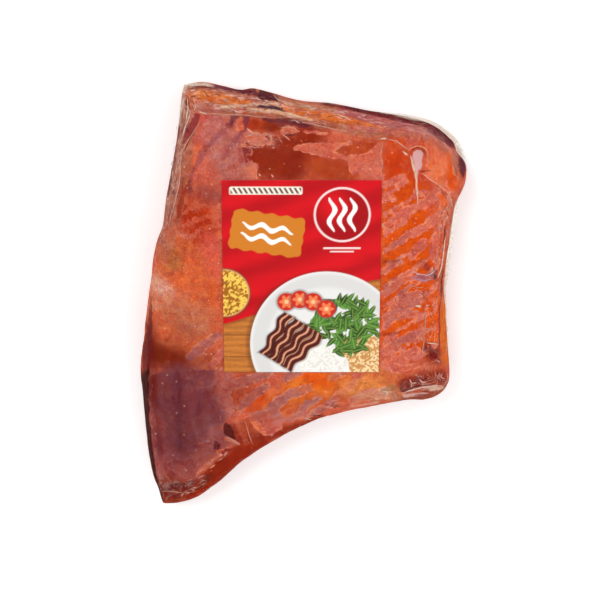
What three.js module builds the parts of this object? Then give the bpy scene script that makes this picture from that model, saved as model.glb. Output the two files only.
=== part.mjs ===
// Vacuum-packed slab of smoked pork belly with a printed front label.
// Millimetres, +Z up. The pack lies flat on its back with the label up.
// The origin is at the middle of the bottom of the whole pack's box.
import * as THREE from "three";

// Sizes of the pack
const FACE_HEIGHT = 42;
const FOOT_INSET = 6;
const FILM_MARGIN_THICKNESS = 1.2;
const WAIST_SHARE = 0.42;
const WAIST_LEAN = 0.17;
const UPPER_EXPONENT = 2.6;
const LOWER_EXPONENT = 2.2;
const SHOULDER_REACH = 24;
const NORMAL_WINDOW = 18;
const HUB_SHARE = 0.3;
const CENTRE_SHIFT = [1.7, 10.26];

// Sizes of the label and of the level field under it
const LABEL_SIZE = [94, 120];
const LABEL_CENTRE = [-1.5, 14];
const LABEL_THICKNESS = 0.4;
const LABEL_GAP = 0.1;
const LEVEL_MARGIN = 9;
const LEVEL_JOIN = 14;
const LEVEL_FADE = 22;

// The tail of the slab is thinner: its face falls below this line
const TAIL_START = -62;
const TAIL_LENGTH = 85;
const TAIL_DROP = 17;

// Fineness of the surface
const COLUMNS = 150;
const FINE_STEPS = 20;
const LOWER_STEPS = 4;
const UPPER_STEPS = 5;
const FACE_STEPS = 12;
const FACE_CROWDING = 1.35;

// Middle of the spokes that the surface is drawn along
const HUB = [-8, 2];

// Stations round the waist of the pack, clockwise from the upper left corner:
// x, y, inset of the face's edge, height of the face's edge, width of the film margin
const STATIONS = [
  // upper side, where the cut end of the slab shows
  [-72, 120.5, 9, 38, 1.0],
  [-69.5, 123.5, 9.5, 38.5, 1.2],
  [-59, 125.5, 10.5, 39, 1.2],
  [-39, 121, 9, 39.5, 0.8],
  [-28.5, 121.5, 9, 39.5, 1.0],
  [-2.5, 114.5, 6.5, 39.5, 1.2],
  [18.5, 112.5, 7.5, 39, 1.2],
  [39.5, 108, 8, 37, 1.4],
  [72.5, 101.5, 4, 31, 2.0],
  // rounded upper right corner
  [88.5, 90.5, 4, 29, 2.4],
  [92, 83.5, 4, 29, 2.4],
  [96.5, 78, 5, 29, 1.5],
  [97.5, 72.5, 6, 31, 0.8],
  [96, 64.5, 6, 33, 0.8],
  // right side, with the widest film margin
  [91.5, 56, 5, 35, 1.6],
  [89.5, 44.5, 5, 36, 3.0],
  [85.5, 6.5, 6.5, 36, 2.8],
  [86.5, -15.5, 7, 36, 2.0],
  [90.5, -49.5, 7, 34, 1.0],
  // lower right corner
  [89.5, -60.5, 7, 33, 1.2],
  [84, -67.5, 7, 32, 1.4],
  [74.5, -70.5, 6, 33, 1.2],
  [62, -70.5, 6, 34, 0.8],
  // hollow lower side, down to the tail
  [25, -77.5, 5, 35, 0.6],
  [5, -84.5, 5, 34, 0.6],
  [-18, -98, 5, 32, 0.6],
  [-38.5, -113, 5, 29, 0.6],
  [-53, -128, 5, 25, 0.6],
  [-66, -139.5, 5, 22, 0.6],
  [-77.5, -144.4, 5, 20, 0.6],
  [-86, -146.4, 5, 18, 0.6],
  [-90.2, -146.3, 5, 18, 0.6],
  // left side
  [-91.7, -142.9, 5, 19, 0.6],
  [-93.8, -134, 5, 21, 0.6],
  [-97.5, -117, 5, 25, 0.6],
  [-101.2, -57, 6, 34, 0.6],
  [-98, -27, 7, 37, 0.6],
  [-91, 22.5, 8, 37.5, 0.8],
  [-85.3, 39.5, 8, 38, 1.0],
  [-83, 57, 10, 38, 1.2],
  [-76, 91, 10, 38, 1.2],
];

// Soft swells and dips of the face: x, y, radius, height
const SWELLS = [
  [-66, 96, 26, -1.6],
  [-20, 100, 22, -1.0],
  [62, 80, 24, 1.2],
  [72, 30, 22, -1.0],
  [74, -30, 20, 0.8],
  [-74, -8, 24, 1.2],
  [-80, -70, 30, 1.4],
  [-30, -76, 22, 1.0],
  [30, -60, 14, -0.6],
];

function smooth(t) {
  const c = Math.min(1, Math.max(0, t));
  return c * c * (3 - 2 * c);
}

// One point of the closed curve through the stations, at a share t of its length in stations.
function alongStations(t) {
  const n = STATIONS.length;
  const i = Math.floor(t);
  const f = t - i;
  const [a, b, c, d] = [-1, 0, 1, 2].map((k) => STATIONS[(i + k + n) % n]);
  return b.map((_, j) => {
    const linear = (c[j] - a[j]) * f;
    const square = (2 * a[j] - 5 * b[j] + 4 * c[j] - d[j]) * f * f;
    const cube = (3 * b[j] - a[j] - 3 * c[j] + d[j]) * f * f * f;
    return 0.5 * (2 * b[j] + linear + square + cube);
  });
}

// The outward direction at each fine point: the normals averaged over a window,
// with a share of the direction from the hub, so that corners stay free of crossings.
function outwardDirections(points, spacing) {
  const n = points.length;
  const normals = points.map((_, i) => {
    const before = points[(i - 1 + n) % n];
    const after = points[(i + 1) % n];
    const length = Math.hypot(after[0] - before[0], after[1] - before[1]);
    return [-(after[1] - before[1]) / length, (after[0] - before[0]) / length];
  });
  const reach = Math.round(NORMAL_WINDOW / spacing);
  return points.map((p, i) => {
    let x = 0;
    let y = 0;
    let total = 0;
    for (let k = -reach; k <= reach; k++) {
      const weight = 0.5 + 0.5 * Math.cos((Math.PI * k) / (reach + 1));
      const normal = normals[(i + k + n) % n];
      x += weight * normal[0];
      y += weight * normal[1];
      total += weight;
    }
    const away = [p[0] - HUB[0], p[1] - HUB[1]];
    const distance = Math.hypot(away[0], away[1]);
    x = x / total + (HUB_SHARE * away[0]) / distance;
    y = y / total + (HUB_SHARE * away[1]) / distance;
    const length = Math.hypot(x, y);
    return [x / length, y / length];
  });
}

// Points of the closed curve at even steps of length, read off a finer one.
function evenPoints(count) {
  const finer = 20000;
  const points = [];
  for (let i = 0; i <= finer; i++) {
    points.push(alongStations(((i % finer) / finer) * STATIONS.length));
  }
  const lengths = [0];
  for (let i = 0; i < finer; i++) {
    const [p, q] = [points[i], points[i + 1]];
    lengths.push(lengths[i] + Math.hypot(q[0] - p[0], q[1] - p[1]));
  }
  const even = [];
  let i = 0;
  for (let k = 0; k < count; k++) {
    const want = (k / count) * lengths[finer];
    while (lengths[i + 1] < want) i++;
    const f = (want - lengths[i]) / (lengths[i + 1] - lengths[i]);
    even.push(points[i].map((v, j) => v + (points[i + 1][j] - v) * f));
  }
  return { points: even, spacing: lengths[finer] / count };
}

// The waist of the pack as evenly spaced columns.
function waistColumns(count) {
  const { points, spacing } = evenPoints(count * FINE_STEPS);
  const outward = outwardDirections(points, spacing);
  const columns = [];
  for (let c = 0; c < count; c++) {
    const [x, y, inset, height, margin] = points[c * FINE_STEPS];
    const [ox, oy] = outward[c * FINE_STEPS];
    const waist = height * (WAIST_SHARE - WAIST_LEAN * oy);
    columns.push({ x, y, inset, height, margin, ox, oy, waist });
  }
  return columns;
}

// Distance of a point from the label's rectangle.
function labelDistance(x, y) {
  const dx = Math.abs(x - LABEL_CENTRE[0]) - LABEL_SIZE[0] / 2;
  const dy = Math.abs(y - LABEL_CENTRE[1]) - LABEL_SIZE[1] / 2;
  return Math.hypot(Math.max(dx, 0), Math.max(dy, 0));
}

// Height of the face: level under the label, soft swells beside it, lower at the tail.
function faceHeight(x, y) {
  let relief = 0.5 * Math.sin(0.055 * x + 0.02 * y) + 0.4 * Math.sin(0.09 * y - 0.03 * x);
  for (const [sx, sy, radius, height] of SWELLS) {
    const square = ((x - sx) ** 2 + (y - sy) ** 2) / radius ** 2;
    relief += height * Math.exp(-square);
  }
  const free = smooth((labelDistance(x, y) - LEVEL_MARGIN) / LEVEL_FADE);
  const tail = smooth((TAIL_START - y) / TAIL_LENGTH);
  return FACE_HEIGHT + relief * free - TAIL_DROP * tail;
}

// Soft distance of a point from the face's edge. The inverse fourth powers of the distances
// are summed along the edge and turned back into a length, so it has no kink at a corner.
function edgeDistance(edge, x, y) {
  let sum = 0;
  for (let i = 0; i < edge.length; i++) {
    const [px, py] = edge[i];
    const [qx, qy] = edge[(i + 1) % edge.length];
    const square = (x - (px + qx) / 2) ** 2 + (y - (py + qy) / 2) ** 2;
    sum += Math.hypot(qx - px, qy - py) / square ** 2;
  }
  return ((2 * sum) / Math.PI) ** (-1 / 3);
}

// Rings of one surface from the foot, over the film margin, up to the face's edge and
// in over the face. Each ring holds one point for each column.
function packRings(columns) {
  const rings = [];
  const half = FILM_MARGIN_THICKNESS / 2;
  for (let s = 0; s < LOWER_STEPS; s++) {
    const angle = (Math.PI / 2) * (1 - s / LOWER_STEPS);
    const inward = 1 - Math.cos(angle) ** (2 / LOWER_EXPONENT);
    const down = Math.sin(angle) ** (2 / LOWER_EXPONENT);
    rings.push(
      columns.map((c) => {
        const offset = -FOOT_INSET * (s === 0 ? 1 : inward);
        const z = (c.waist - half) * (s === 0 ? 0 : 1 - down);
        return [c.x + c.ox * offset, c.y + c.oy * offset, z];
      }),
    );
  }
  for (const [share, level] of [[0, -1], [1, -0.6], [1, 0.6], [0, 1]]) {
    rings.push(
      columns.map((c) => {
        const offset = share * c.margin;
        return [c.x + c.ox * offset, c.y + c.oy * offset, c.waist + level * half];
      }),
    );
  }
  for (let s = 1; s <= UPPER_STEPS; s++) {
    const angle = (Math.PI / 2) * (s / UPPER_STEPS);
    const inward = s === UPPER_STEPS ? 1 : 1 - Math.cos(angle) ** (2 / UPPER_EXPONENT);
    const up = Math.sin(angle) ** (2 / UPPER_EXPONENT);
    rings.push(
      columns.map((c) => {
        const offset = -c.inset * inward;
        const z = c.waist + half + (c.height - c.waist - half) * up;
        return [c.x + c.ox * offset, c.y + c.oy * offset, z];
      }),
    );
  }
  const edge = rings[rings.length - 1];
  for (let s = 1; s < FACE_STEPS; s++) {
    const share = (s / FACE_STEPS) ** FACE_CROWDING;
    rings.push(
      edge.map(([ex, ey, ez]) => {
        const x = ex + (HUB[0] - ex) * share;
        const y = ey + (HUB[1] - ey) * share;
        const climb = smooth(edgeDistance(edge, x, y) / SHOULDER_REACH);
        const free = smooth((labelDistance(x, y) - LEVEL_MARGIN) / LEVEL_JOIN);
        const rise = 1 - (1 - climb) * free;
        return [x, y, ez + (faceHeight(x, y) - ez) * rise];
      }),
    );
  }
  return rings;
}

// A closed body from the rings, with a middle point below and one above.
function packGeometry() {
  const columns = waistColumns(COLUMNS);
  const rings = packRings(columns);
  const positions = [];
  for (const ring of rings) {
    for (const [x, y, z] of ring) {
      positions.push(x + CENTRE_SHIFT[0], y + CENTRE_SHIFT[1], z);
    }
  }
  const below = positions.length / 3;
  const middle = [HUB[0] + CENTRE_SHIFT[0], HUB[1] + CENTRE_SHIFT[1]];
  positions.push(middle[0], middle[1], 0);
  positions.push(middle[0], middle[1], faceHeight(HUB[0], HUB[1]));
  const above = below + 1;
  const index = [];
  const top = (rings.length - 1) * COLUMNS;
  for (let c = 0; c < COLUMNS; c++) {
    const d = (c + 1) % COLUMNS;
    index.push(below, c, d);
    for (let r = 0; r < rings.length - 1; r++) {
      const low = r * COLUMNS;
      const high = low + COLUMNS;
      index.push(low + c, high + d, low + d);
      index.push(low + c, high + c, high + d);
    }
    index.push(above, top + d, top + c);
  }
  const geometry = new THREE.BufferGeometry();
  geometry.setAttribute("position", new THREE.Float32BufferAttribute(positions, 3));
  geometry.setIndex(index);
  geometry.computeVertexNormals();
  return geometry;
}

const bagMaterial = new THREE.MeshStandardMaterial({
  color: 0xb95a3f,
  roughness: 0.22,
  metalness: 0,
});
const labelMaterial = new THREE.MeshStandardMaterial({
  color: 0xd2171f,
  roughness: 0.38,
  metalness: 0,
});

const bag = new THREE.Mesh(packGeometry(), bagMaterial);
bag.name = "bag";

const label = new THREE.Mesh(
  new THREE.BoxGeometry(LABEL_SIZE[0], LABEL_SIZE[1], LABEL_THICKNESS),
  labelMaterial,
);
label.name = "label";
label.position.set(
  LABEL_CENTRE[0] + CENTRE_SHIFT[0],
  LABEL_CENTRE[1] + CENTRE_SHIFT[1],
  FACE_HEIGHT + LABEL_GAP + LABEL_THICKNESS / 2,
);

const pack = new THREE.Group();
pack.add(bag, label);

export default pack;
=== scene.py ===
"""Vacuum-packed slab of smoked pork belly, dressed over its solids: the marbled slab, the
clear film drawn tight over it with its welded margin, and the printed front label."""

import math

import bpy
import numpy as np
from bpy.props import FloatProperty, FloatVectorProperty, PointerProperty
from mathutils import Matrix, Vector


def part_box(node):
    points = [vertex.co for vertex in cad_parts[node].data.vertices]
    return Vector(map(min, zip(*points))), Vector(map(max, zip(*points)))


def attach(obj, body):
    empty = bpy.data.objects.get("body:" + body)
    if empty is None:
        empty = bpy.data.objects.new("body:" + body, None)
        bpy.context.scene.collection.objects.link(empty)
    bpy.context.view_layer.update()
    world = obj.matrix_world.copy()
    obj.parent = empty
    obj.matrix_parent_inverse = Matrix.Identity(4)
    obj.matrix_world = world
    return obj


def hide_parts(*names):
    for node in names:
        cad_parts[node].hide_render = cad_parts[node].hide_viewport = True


bl_info = {
    "name": "Bacon Pack",
    "version": (1, 0, 0),
    "blender": (4, 5, 0),
    "location": "View3D > Sidebar > Pack",
    "description": "Makes a vacuum-packed slab of smoked pork belly with a front label",
    "category": "Add Mesh",
}

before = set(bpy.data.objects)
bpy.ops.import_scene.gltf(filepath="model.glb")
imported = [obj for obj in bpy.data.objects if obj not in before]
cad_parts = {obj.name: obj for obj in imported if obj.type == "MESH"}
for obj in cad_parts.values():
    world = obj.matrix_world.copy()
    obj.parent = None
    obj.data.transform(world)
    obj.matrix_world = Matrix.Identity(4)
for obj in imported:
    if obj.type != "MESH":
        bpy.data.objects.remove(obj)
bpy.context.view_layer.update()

MM = 0.001

# The surface of the pack, in millimetres, before it is centred on its box
FACE_HEIGHT = 42.0
FOOT_INSET = 6.0
MARGIN_THICKNESS = 1.2
WAIST_SHARE = 0.42
WAIST_LEAN = 0.17
UPPER_EXPONENT = 2.6
LOWER_EXPONENT = 2.2
SHOULDER_REACH = 24.0
NORMAL_WINDOW = 18.0
HUB_SHARE = 0.3
CENTRE_SHIFT = np.array([1.7, 10.26])
LABEL_SIZE = (94.0, 120.0)
LABEL_CENTRE = (-1.5, 14.0)
LEVEL_MARGIN = 9.0
LEVEL_JOIN = 14.0
LEVEL_FADE = 22.0
TAIL_START = -62.0
TAIL_LENGTH = 85.0
TAIL_DROP = 17.0
HUB = np.array([-8.0, 2.0])
WALL_RUN = 30.0
ROUND_RADIUS = 137.0

# Stations round the waist, clockwise from the upper left corner:
# x, y, inset of the face's edge, height of the face's edge, width of the film margin
STATIONS = np.array([
    (-72, 120.5, 9, 38, 1.0), (-69.5, 123.5, 9.5, 38.5, 1.2), (-59, 125.5, 10.5, 39, 1.2),
    (-39, 121, 9, 39.5, 0.8), (-28.5, 121.5, 9, 39.5, 1.0), (-2.5, 114.5, 6.5, 39.5, 1.2),
    (18.5, 112.5, 7.5, 39, 1.2), (39.5, 108, 8, 37, 1.4), (72.5, 101.5, 4, 31, 2.0),
    (88.5, 90.5, 4, 29, 2.4), (92, 83.5, 4, 29, 2.4), (96.5, 78, 5, 29, 1.5),
    (97.5, 72.5, 6, 31, 0.8), (96, 64.5, 6, 33, 0.8), (91.5, 56, 5, 35, 1.6),
    (89.5, 44.5, 5, 36, 3.0), (85.5, 6.5, 6.5, 36, 2.8), (86.5, -15.5, 7, 36, 2.0),
    (90.5, -49.5, 7, 34, 1.0), (89.5, -60.5, 7, 33, 1.2), (84, -67.5, 7, 32, 1.4),
    (74.5, -70.5, 6, 33, 1.2), (62, -70.5, 6, 34, 0.8), (25, -77.5, 5, 35, 0.6),
    (5, -84.5, 5, 34, 0.6), (-18, -98, 5, 32, 0.6), (-38.5, -113, 5, 29, 0.6),
    (-53, -128, 5, 25, 0.6), (-66, -139.5, 5, 22, 0.6), (-77.5, -144.4, 5, 20, 0.6),
    (-86, -146.4, 5, 18, 0.6), (-90.2, -146.3, 5, 18, 0.6), (-91.7, -142.9, 5, 19, 0.6),
    (-93.8, -134, 5, 21, 0.6), (-97.5, -117, 5, 25, 0.6),
    (-101.2, -57, 6, 34, 0.6), (-98, -27, 7, 37, 0.6), (-91, 22.5, 8, 37.5, 0.8),
    (-85.3, 39.5, 8, 38, 1.0), (-83, 57, 10, 38, 1.2), (-76, 91, 10, 38, 1.2),
])

# Soft swells and dips of the face: x, y, radius, height
SWELLS = (
    (-66, 96, 26, -1.6), (-20, 100, 22, -1.0), (62, 80, 24, 1.2), (72, 30, 22, -1.0),
    (74, -30, 20, 0.8), (-74, -8, 24, 1.2), (-80, -70, 30, 1.4), (-30, -76, 22, 1.0),
    (30, -60, 14, -0.6),
)

# The viewpoint. The picture is 600 by 600, and places in it are given in its pixels.
PICTURE = 600
VIEW_TILT = math.radians(18.0)
VIEW_REACH = 1000.0
LENS = 100.0
SENSOR = 36.0
VIEW_TARGET = np.array([-0.7, 10.26, 42.0])
VIEW_BACK = np.array([0.0, math.sin(VIEW_TILT), math.cos(VIEW_TILT)])
VIEW_UP = np.array([0.0, math.cos(VIEW_TILT), -math.sin(VIEW_TILT)])
FOCAL = PICTURE * LENS / SENSOR
EYE = VIEW_TARGET + VIEW_BACK * VIEW_REACH

# Columns round the pack, and rows of the lower wall, the upper wall and the face
AROUND = 640
SLAB_ROWS = (10, 26, 98)
FILM_ROWS = (9, 24, 92)
SLAB_FOOT = 0.25
LAYER_HEIGHT = 13.0
FAR_OUTSIDE = -9.0
CREASE_STEP = 0.9
# Inks of the short crease strokes: the pale ones are painted highlights, the dark ones painted shade
CREASE_INKS = ("cream_pink", "cream_pink", "salmon_light", "wet_red", "maroon")
LABEL_STEPS = (210, 268)

# Middles of the printed motifs, and reach of the dish and its food, from the label's middle
RING_PLACE = (24.0, 39.0)
RING_RADIUS = 16.2
PLAQUE_PLACE = (-20.5, 27.5)
RIBBON_PLACE = (-21.0, 53.6)
DISH_PLACE = (15.0, -42.0)
DISH_RADIUS = 46.0
FOOD_REACH = 44.0
BOWL_PLACE = (-46.0, -9.5)

# Floor and light of the stage: name, place, aim, size and power of each lamp
FLOOR_DROP = 0.0004
FLOOR_LIFT = 0.2
WORLD_LIGHT = 0.62
SOFTBOXES = (
    ("key_softbox", (-0.55, 0.75, 1.15), (0.0, 0.0, 0.02), 0.7, 10.0),
    ("fill_softbox", (0.95, 0.25, 0.8), (0.0, 0.0, 0.02), 0.5, 4.0),
    ("back_softbox", (0.2, -1.1, 0.7), (0.0, 0.0, 0.02), 0.5, 3.0),
)
SPARKLES = (
    ("sparkle_left", (-0.26, -0.12, 1.25), (0.0, 0.0, 0.03), 0.035, 0.45),
    ("sparkle_right", (0.30, -0.36, 1.2), (0.0, 0.0, 0.03), 0.035, 0.45),
)

# Light that the film's sheen adds, and colours of meat, fat, smoke and film as seen, with a painted shade
# for the dark left side
SHEEN = 0.009
DARKEST = 0.002
INK = {
    "salmon": (203, 98, 72),
    "salmon_light": (224, 114, 76),
    "salmon_pink": (198, 100, 86),
    "stripe": (214, 114, 96),
    "lilac": (176, 104, 98),
    "lilac_deep": (150, 84, 86),
    "purple": (112, 52, 60),
    "purple_deep": (84, 34, 48),
    "wet_red": (143, 47, 30),
    "wet_deep": (132, 52, 34),
    "wet_brown": (172, 66, 34),
    "orange": (206, 74, 32),
    "orange_bright": (224, 92, 32),
    "amber": (218, 108, 40),
    "tan": (206, 104, 66),
    "tan_light": (216, 126, 80),
    "cream": (238, 214, 186),
    "cream_pink": (226, 168, 146),
    "rose": (190, 86, 76),
    # painted shade of the dark left side wall
    "side_shade": (52, 20, 20),
    "maroon": (98, 24, 34),
    "navy": (60, 30, 48),
    "olive": (150, 104, 66),
    "rind": (120, 60, 40),
}


def smooth(t):
    """Smooth step: 3 t^2 - 2 t^3 with t held between 0 and 1."""
    c = np.clip(t, 0.0, 1.0)
    return c * c * (3.0 - 2.0 * c)


def linear(colour):
    """A colour of 0 to 255 as shown on a screen, turned into linear light."""
    c = np.asarray(colour, float) / 255.0
    return np.where(c <= 0.04045, c / 12.92, ((c + 0.055) / 1.055) ** 2.4)


def ink_colour(ink):
    """Linear light of an ink's name, or of a colour as shown on a screen."""
    return linear(INK[ink] if isinstance(ink, str) else ink)


def ink_light(ink):
    """Linear light of an ink, less what the film's sheen adds to it."""
    return np.maximum(ink_colour(ink) - SHEEN, DARKEST)



def lattice_noise(points, size, seed):
    """Value noise in three dimensions: seeded random values on a lattice of the given cell
    size, blended by smooth steps along each axis. Returns values from -1 to 1."""
    rng = np.random.default_rng(seed)
    table = rng.uniform(-1.0, 1.0, 4096)
    p = np.asarray(points, float) / size + 1000.0
    cell = np.floor(p).astype(np.int64)
    part = smooth(p - cell)
    total = np.zeros(p.shape[:-1])
    for dx in (0, 1):
        for dy in (0, 1):
            for dz in (0, 1):
                x = cell[..., 0] + dx
                y = cell[..., 1] + dy
                z = cell[..., 2] + dz
                value = table[(x * 1619 + y * 31337 + z * 6971) % 4096]
                wx = part[..., 0] if dx else 1.0 - part[..., 0]
                wy = part[..., 1] if dy else 1.0 - part[..., 1]
                wz = part[..., 2] if dz else 1.0 - part[..., 2]
                total += value * wx * wy * wz
    return total


def layered_noise(points, size, seed, layers=3):
    """Sum of lattice noises, each at half the size and half the strength of the last."""
    total = 0.0
    for k in range(layers):
        total = total + lattice_noise(points, size / 2**k, seed + k) / 2**k
    return total / 1.6


def waist_columns(count):
    """Evenly spaced columns on the closed Catmull-Rom curve through the stations, with the
    outward direction: normals averaged over a window, plus a share of the direction from the
    hub. The curve is laid out twice at even steps of length before the normals are averaged.
    Returns an array with x, y, inset, height, margin, out x, out y and waist height."""
    fine = 3000
    n = len(STATIONS)
    t = np.arange(fine) / fine * n
    i = t.astype(int)
    f = (t - i)[:, None]
    a, b, c, d = (STATIONS[(i + k) % n] for k in (-1, 0, 1, 2))
    square = 2 * a - 5 * b + 4 * c - d
    cube = 3 * b - a - 3 * c + d
    curve = 0.5 * (2 * b + (c - a) * f + square * f**2 + cube * f**3)
    for _ in range(2):
        step = np.linalg.norm(np.roll(curve[:, :2], -1, 0) - curve[:, :2], axis=1)
        length = np.concatenate([[0.0], np.cumsum(step)])
        closed = np.vstack([curve, curve[:1]])
        even = np.arange(fine) / fine * length[-1]
        curve = np.stack([np.interp(even, length, closed[:, j]) for j in range(5)], 1)
    length = np.arange(fine + 1) / fine * length[-1]
    along = np.roll(curve[:, :2], -1, 0) - np.roll(curve[:, :2], 1, 0)
    normal = np.column_stack([-along[:, 1], along[:, 0]])
    normal /= np.linalg.norm(normal, axis=1)[:, None]
    reach = int(round(NORMAL_WINDOW / (length[-1] / fine)))
    k = np.arange(-reach, reach + 1)
    weight = 0.5 + 0.5 * np.cos(np.pi * k / (reach + 1))
    weight /= weight.sum()
    padded = np.vstack([normal[-reach:], normal, normal[:reach]])
    normal = np.stack([np.convolve(padded[:, j], weight, "valid") for j in range(2)], 1)
    away = curve[:, :2] - HUB
    away /= np.linalg.norm(away, axis=1)[:, None]
    out = normal + HUB_SHARE * away
    out /= np.linalg.norm(out, axis=1)[:, None]
    full = np.column_stack([curve, out])
    full = np.vstack([full, full[:1]])
    want = np.arange(count) / count * length[-1]
    columns = np.stack([np.interp(want, length, full[:, j]) for j in range(7)], 1)
    waist = columns[:, 3] * (WAIST_SHARE - WAIST_LEAN * columns[:, 6])
    return np.column_stack([columns, waist])


def label_distance(x, y):
    """Distance of a point from the label's rectangle, 0 inside it."""
    dx = np.maximum(np.abs(x - LABEL_CENTRE[0]) - LABEL_SIZE[0] / 2, 0)
    dy = np.maximum(np.abs(y - LABEL_CENTRE[1]) - LABEL_SIZE[1] / 2, 0)
    return np.hypot(dx, dy)


def face_height(x, y):
    """Height of the face: level under the label, soft swells beside it, lower at the tail."""
    relief = 0.5 * np.sin(0.055 * x + 0.02 * y) + 0.4 * np.sin(0.09 * y - 0.03 * x)
    for sx, sy, radius, height in SWELLS:
        relief = relief + height * np.exp(-((x - sx) ** 2 + (y - sy) ** 2) / radius**2)
    free = smooth((label_distance(x, y) - LEVEL_MARGIN) / LEVEL_FADE)
    tail = smooth((TAIL_START - y) / TAIL_LENGTH)
    return FACE_HEIGHT + relief * free - TAIL_DROP * tail


def edge_distance(edge, x, y):
    """Soft distance from the face's edge: the inverse fourth powers of the distances are
    summed along the edge and turned back into a length, so corners leave no kink."""
    following = np.roll(edge, -1, 0)
    middle = (edge[:, :2] + following[:, :2]) / 2
    length = np.linalg.norm(following[:, :2] - edge[:, :2], axis=1)
    square = (x[:, None] - middle[None, :, 0]) ** 2 + (y[:, None] - middle[None, :, 1]) ** 2
    total = (length[None, :] / (square + 0.3) ** 2).sum(1)
    return (2.0 * total / np.pi) ** (-1.0 / 3.0)


def pack_surface(count, lower, upper, face, with_margin):
    """Grid of the pack's surface, one row from the foot to the face for each step and one
    column for each place round the waist. The lower wall is a quarter of a superellipse from
    the foot to the waist, the margin a thin lip there, the upper wall a quarter of a
    superellipse to the face's edge, and the face runs in towards the hub. Returns the grid,
    the height share of each row on the wall (0 foot, 1 waist, 2 edge, 3 hub), the columns, and
    the strata place: a turn round the pack laid on a circle, with the reach up the wall and in
    over the face as its height, so that a pattern can run along the outline."""
    c = waist_columns(count)
    place, out = c[:, :2], c[:, 5:7]
    inset, height, margin, waist = c[:, 2], c[:, 3], c[:, 4], c[:, 7]
    half = MARGIN_THICKNESS / 2 if with_margin else 0.2
    spare = np.clip(margin - 0.1, 0.0, 0.55)
    margin = margin - spare
    rows, level, reach = [], [], []

    def add(offset, z, where):
        swell = spare * smooth(1.0 - abs(where - 1.0) / 0.5)
        rows.append(np.column_stack([place + out * (offset + swell)[:, None], z]))
        level.append(where)
        reach.append(np.full(count, (where - 1.0) * WALL_RUN))

    for s in range(lower):
        angle = np.pi / 2 * (1 - s / lower)
        inward = 1.0 if s == 0 else 1 - math.cos(angle) ** (2 / LOWER_EXPONENT)
        down = 1.0 if s == 0 else math.sin(angle) ** (2 / LOWER_EXPONENT)
        add(np.full(count, -FOOT_INSET * inward), (waist - half) * (1 - down), s / lower)
    if with_margin:
        turn = np.column_stack([place, np.zeros(count)])
        flutter = 0.8 * lattice_noise(turn, 14.0, 5) + 0.4 * lattice_noise(turn, 5.0, 6)
        ripple = 1.0 + 0.22 * lattice_noise(turn, 7.0, 7)
        for share, lift in ((0.0, -1.0), (0.5, -0.45), (1.0, -0.2), (1.0, 0.2), (0.5, 0.45), (0.0, 1.0)):
            z = waist + lift * half + share * flutter * np.minimum(margin, 3.0) / 3.0
            add(share * margin * ripple, z, 1.0)
    else:
        add(np.zeros(count), waist - half, 1.0)
        add(np.zeros(count), waist + half, 1.0)
    for s in range(1, upper + 1):
        angle = np.pi / 2 * (s / upper)
        inward = 1.0 if s == upper else 1 - math.cos(angle) ** (2 / UPPER_EXPONENT)
        up = math.sin(angle) ** (2 / UPPER_EXPONENT)
        add(-inset * inward, waist + half + (height - waist - half) * up, 1 + s / upper)
    edge = rows[-1]
    for s in range(1, face):
        share = (s / face) ** 1.15
        place_in = edge[:, :2] + (HUB - edge[:, :2]) * share
        x, y = place_in[:, 0], place_in[:, 1]
        climb = smooth(edge_distance(edge, x, y) / SHOULDER_REACH)
        free = smooth((label_distance(x, y) - LEVEL_MARGIN) / LEVEL_JOIN)
        rise = 1 - (1 - climb) * free
        z = edge[:, 2] + (face_height(x, y) - edge[:, 2]) * rise
        rows.append(np.column_stack([x, y, z]))
        level.append(2 + s / face)
        reach.append(WALL_RUN + share * np.linalg.norm(HUB - edge[:, :2], axis=1))
    grid = np.array(rows)
    grid[..., :2] += CENTRE_SHIFT
    turn = 2 * np.pi * np.arange(count) / count
    around = np.column_stack([np.cos(turn), np.sin(turn)]) * ROUND_RADIUS
    strata = np.concatenate([np.broadcast_to(around, (len(rows), count, 2)), np.array(reach)[..., None]], -1)
    return grid, np.array(level), c, strata


def grid_normals(grid):
    """Outward normals of a grid that is closed along its columns: the cross product of the
    differences along the columns and along the rows."""
    along = np.roll(grid, -1, 1) - np.roll(grid, 1, 1)
    up = np.gradient(grid, axis=0)
    normal = np.cross(up, along)
    size = np.linalg.norm(normal, axis=2)[..., None]
    return normal / np.maximum(size, 1e-9)


def row_levels(level, grid):
    """The rows' height shares, laid out over the whole grid."""
    return level[:, None] + np.zeros(grid.shape[1])


def off_margin(lev):
    """0 on the rows of the margin, 1 a little above and below them."""
    return smooth(np.abs(lev - 1.0) / 0.06)


def beside_label(grid, start, run):
    """0 under the label and up to a start distance beside it, 1 a run further out."""
    x, y = grid[..., 0] - CENTRE_SHIFT[0], grid[..., 1] - CENTRE_SHIFT[1]
    return smooth((label_distance(x, y) - start) / run)


def drawn_relief(grid, level, strata):
    """Height of the folds in slab and film together: layers that run round the walls, long
    folds over the cut upper end, and low dimples on the face that fade out under the label."""
    lev = row_levels(level, grid)
    wall = smooth((2.12 - lev) / 0.16) * smooth((lev - 0.75) / 0.35)
    along = strata * np.array([0.12, 0.12, 1.0])
    closer = along * np.array([2.0, 2.0, 1.0])
    fold = 0.55 * lattice_noise(along, 3.4, 71) + 0.3 * lattice_noise(closer, 1.7, 74)
    dimple = 0.26 * layered_noise(grid, 8.0, 72) + 0.10 * lattice_noise(grid, 2.4, 78)
    return wall * fold + (1 - wall) * beside_label(grid, 2.0, 9.0) * dimple


def picture_place(points):
    """Where points of the pack, in millimetres, are seen in the picture."""
    offset = points - EYE
    depth = -(offset @ VIEW_BACK)
    x = PICTURE / 2 + FOCAL * offset[..., 0] / depth
    y = PICTURE / 2 - FOCAL * (offset @ VIEW_UP) / depth
    return np.stack([x, y], -1)



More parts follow.
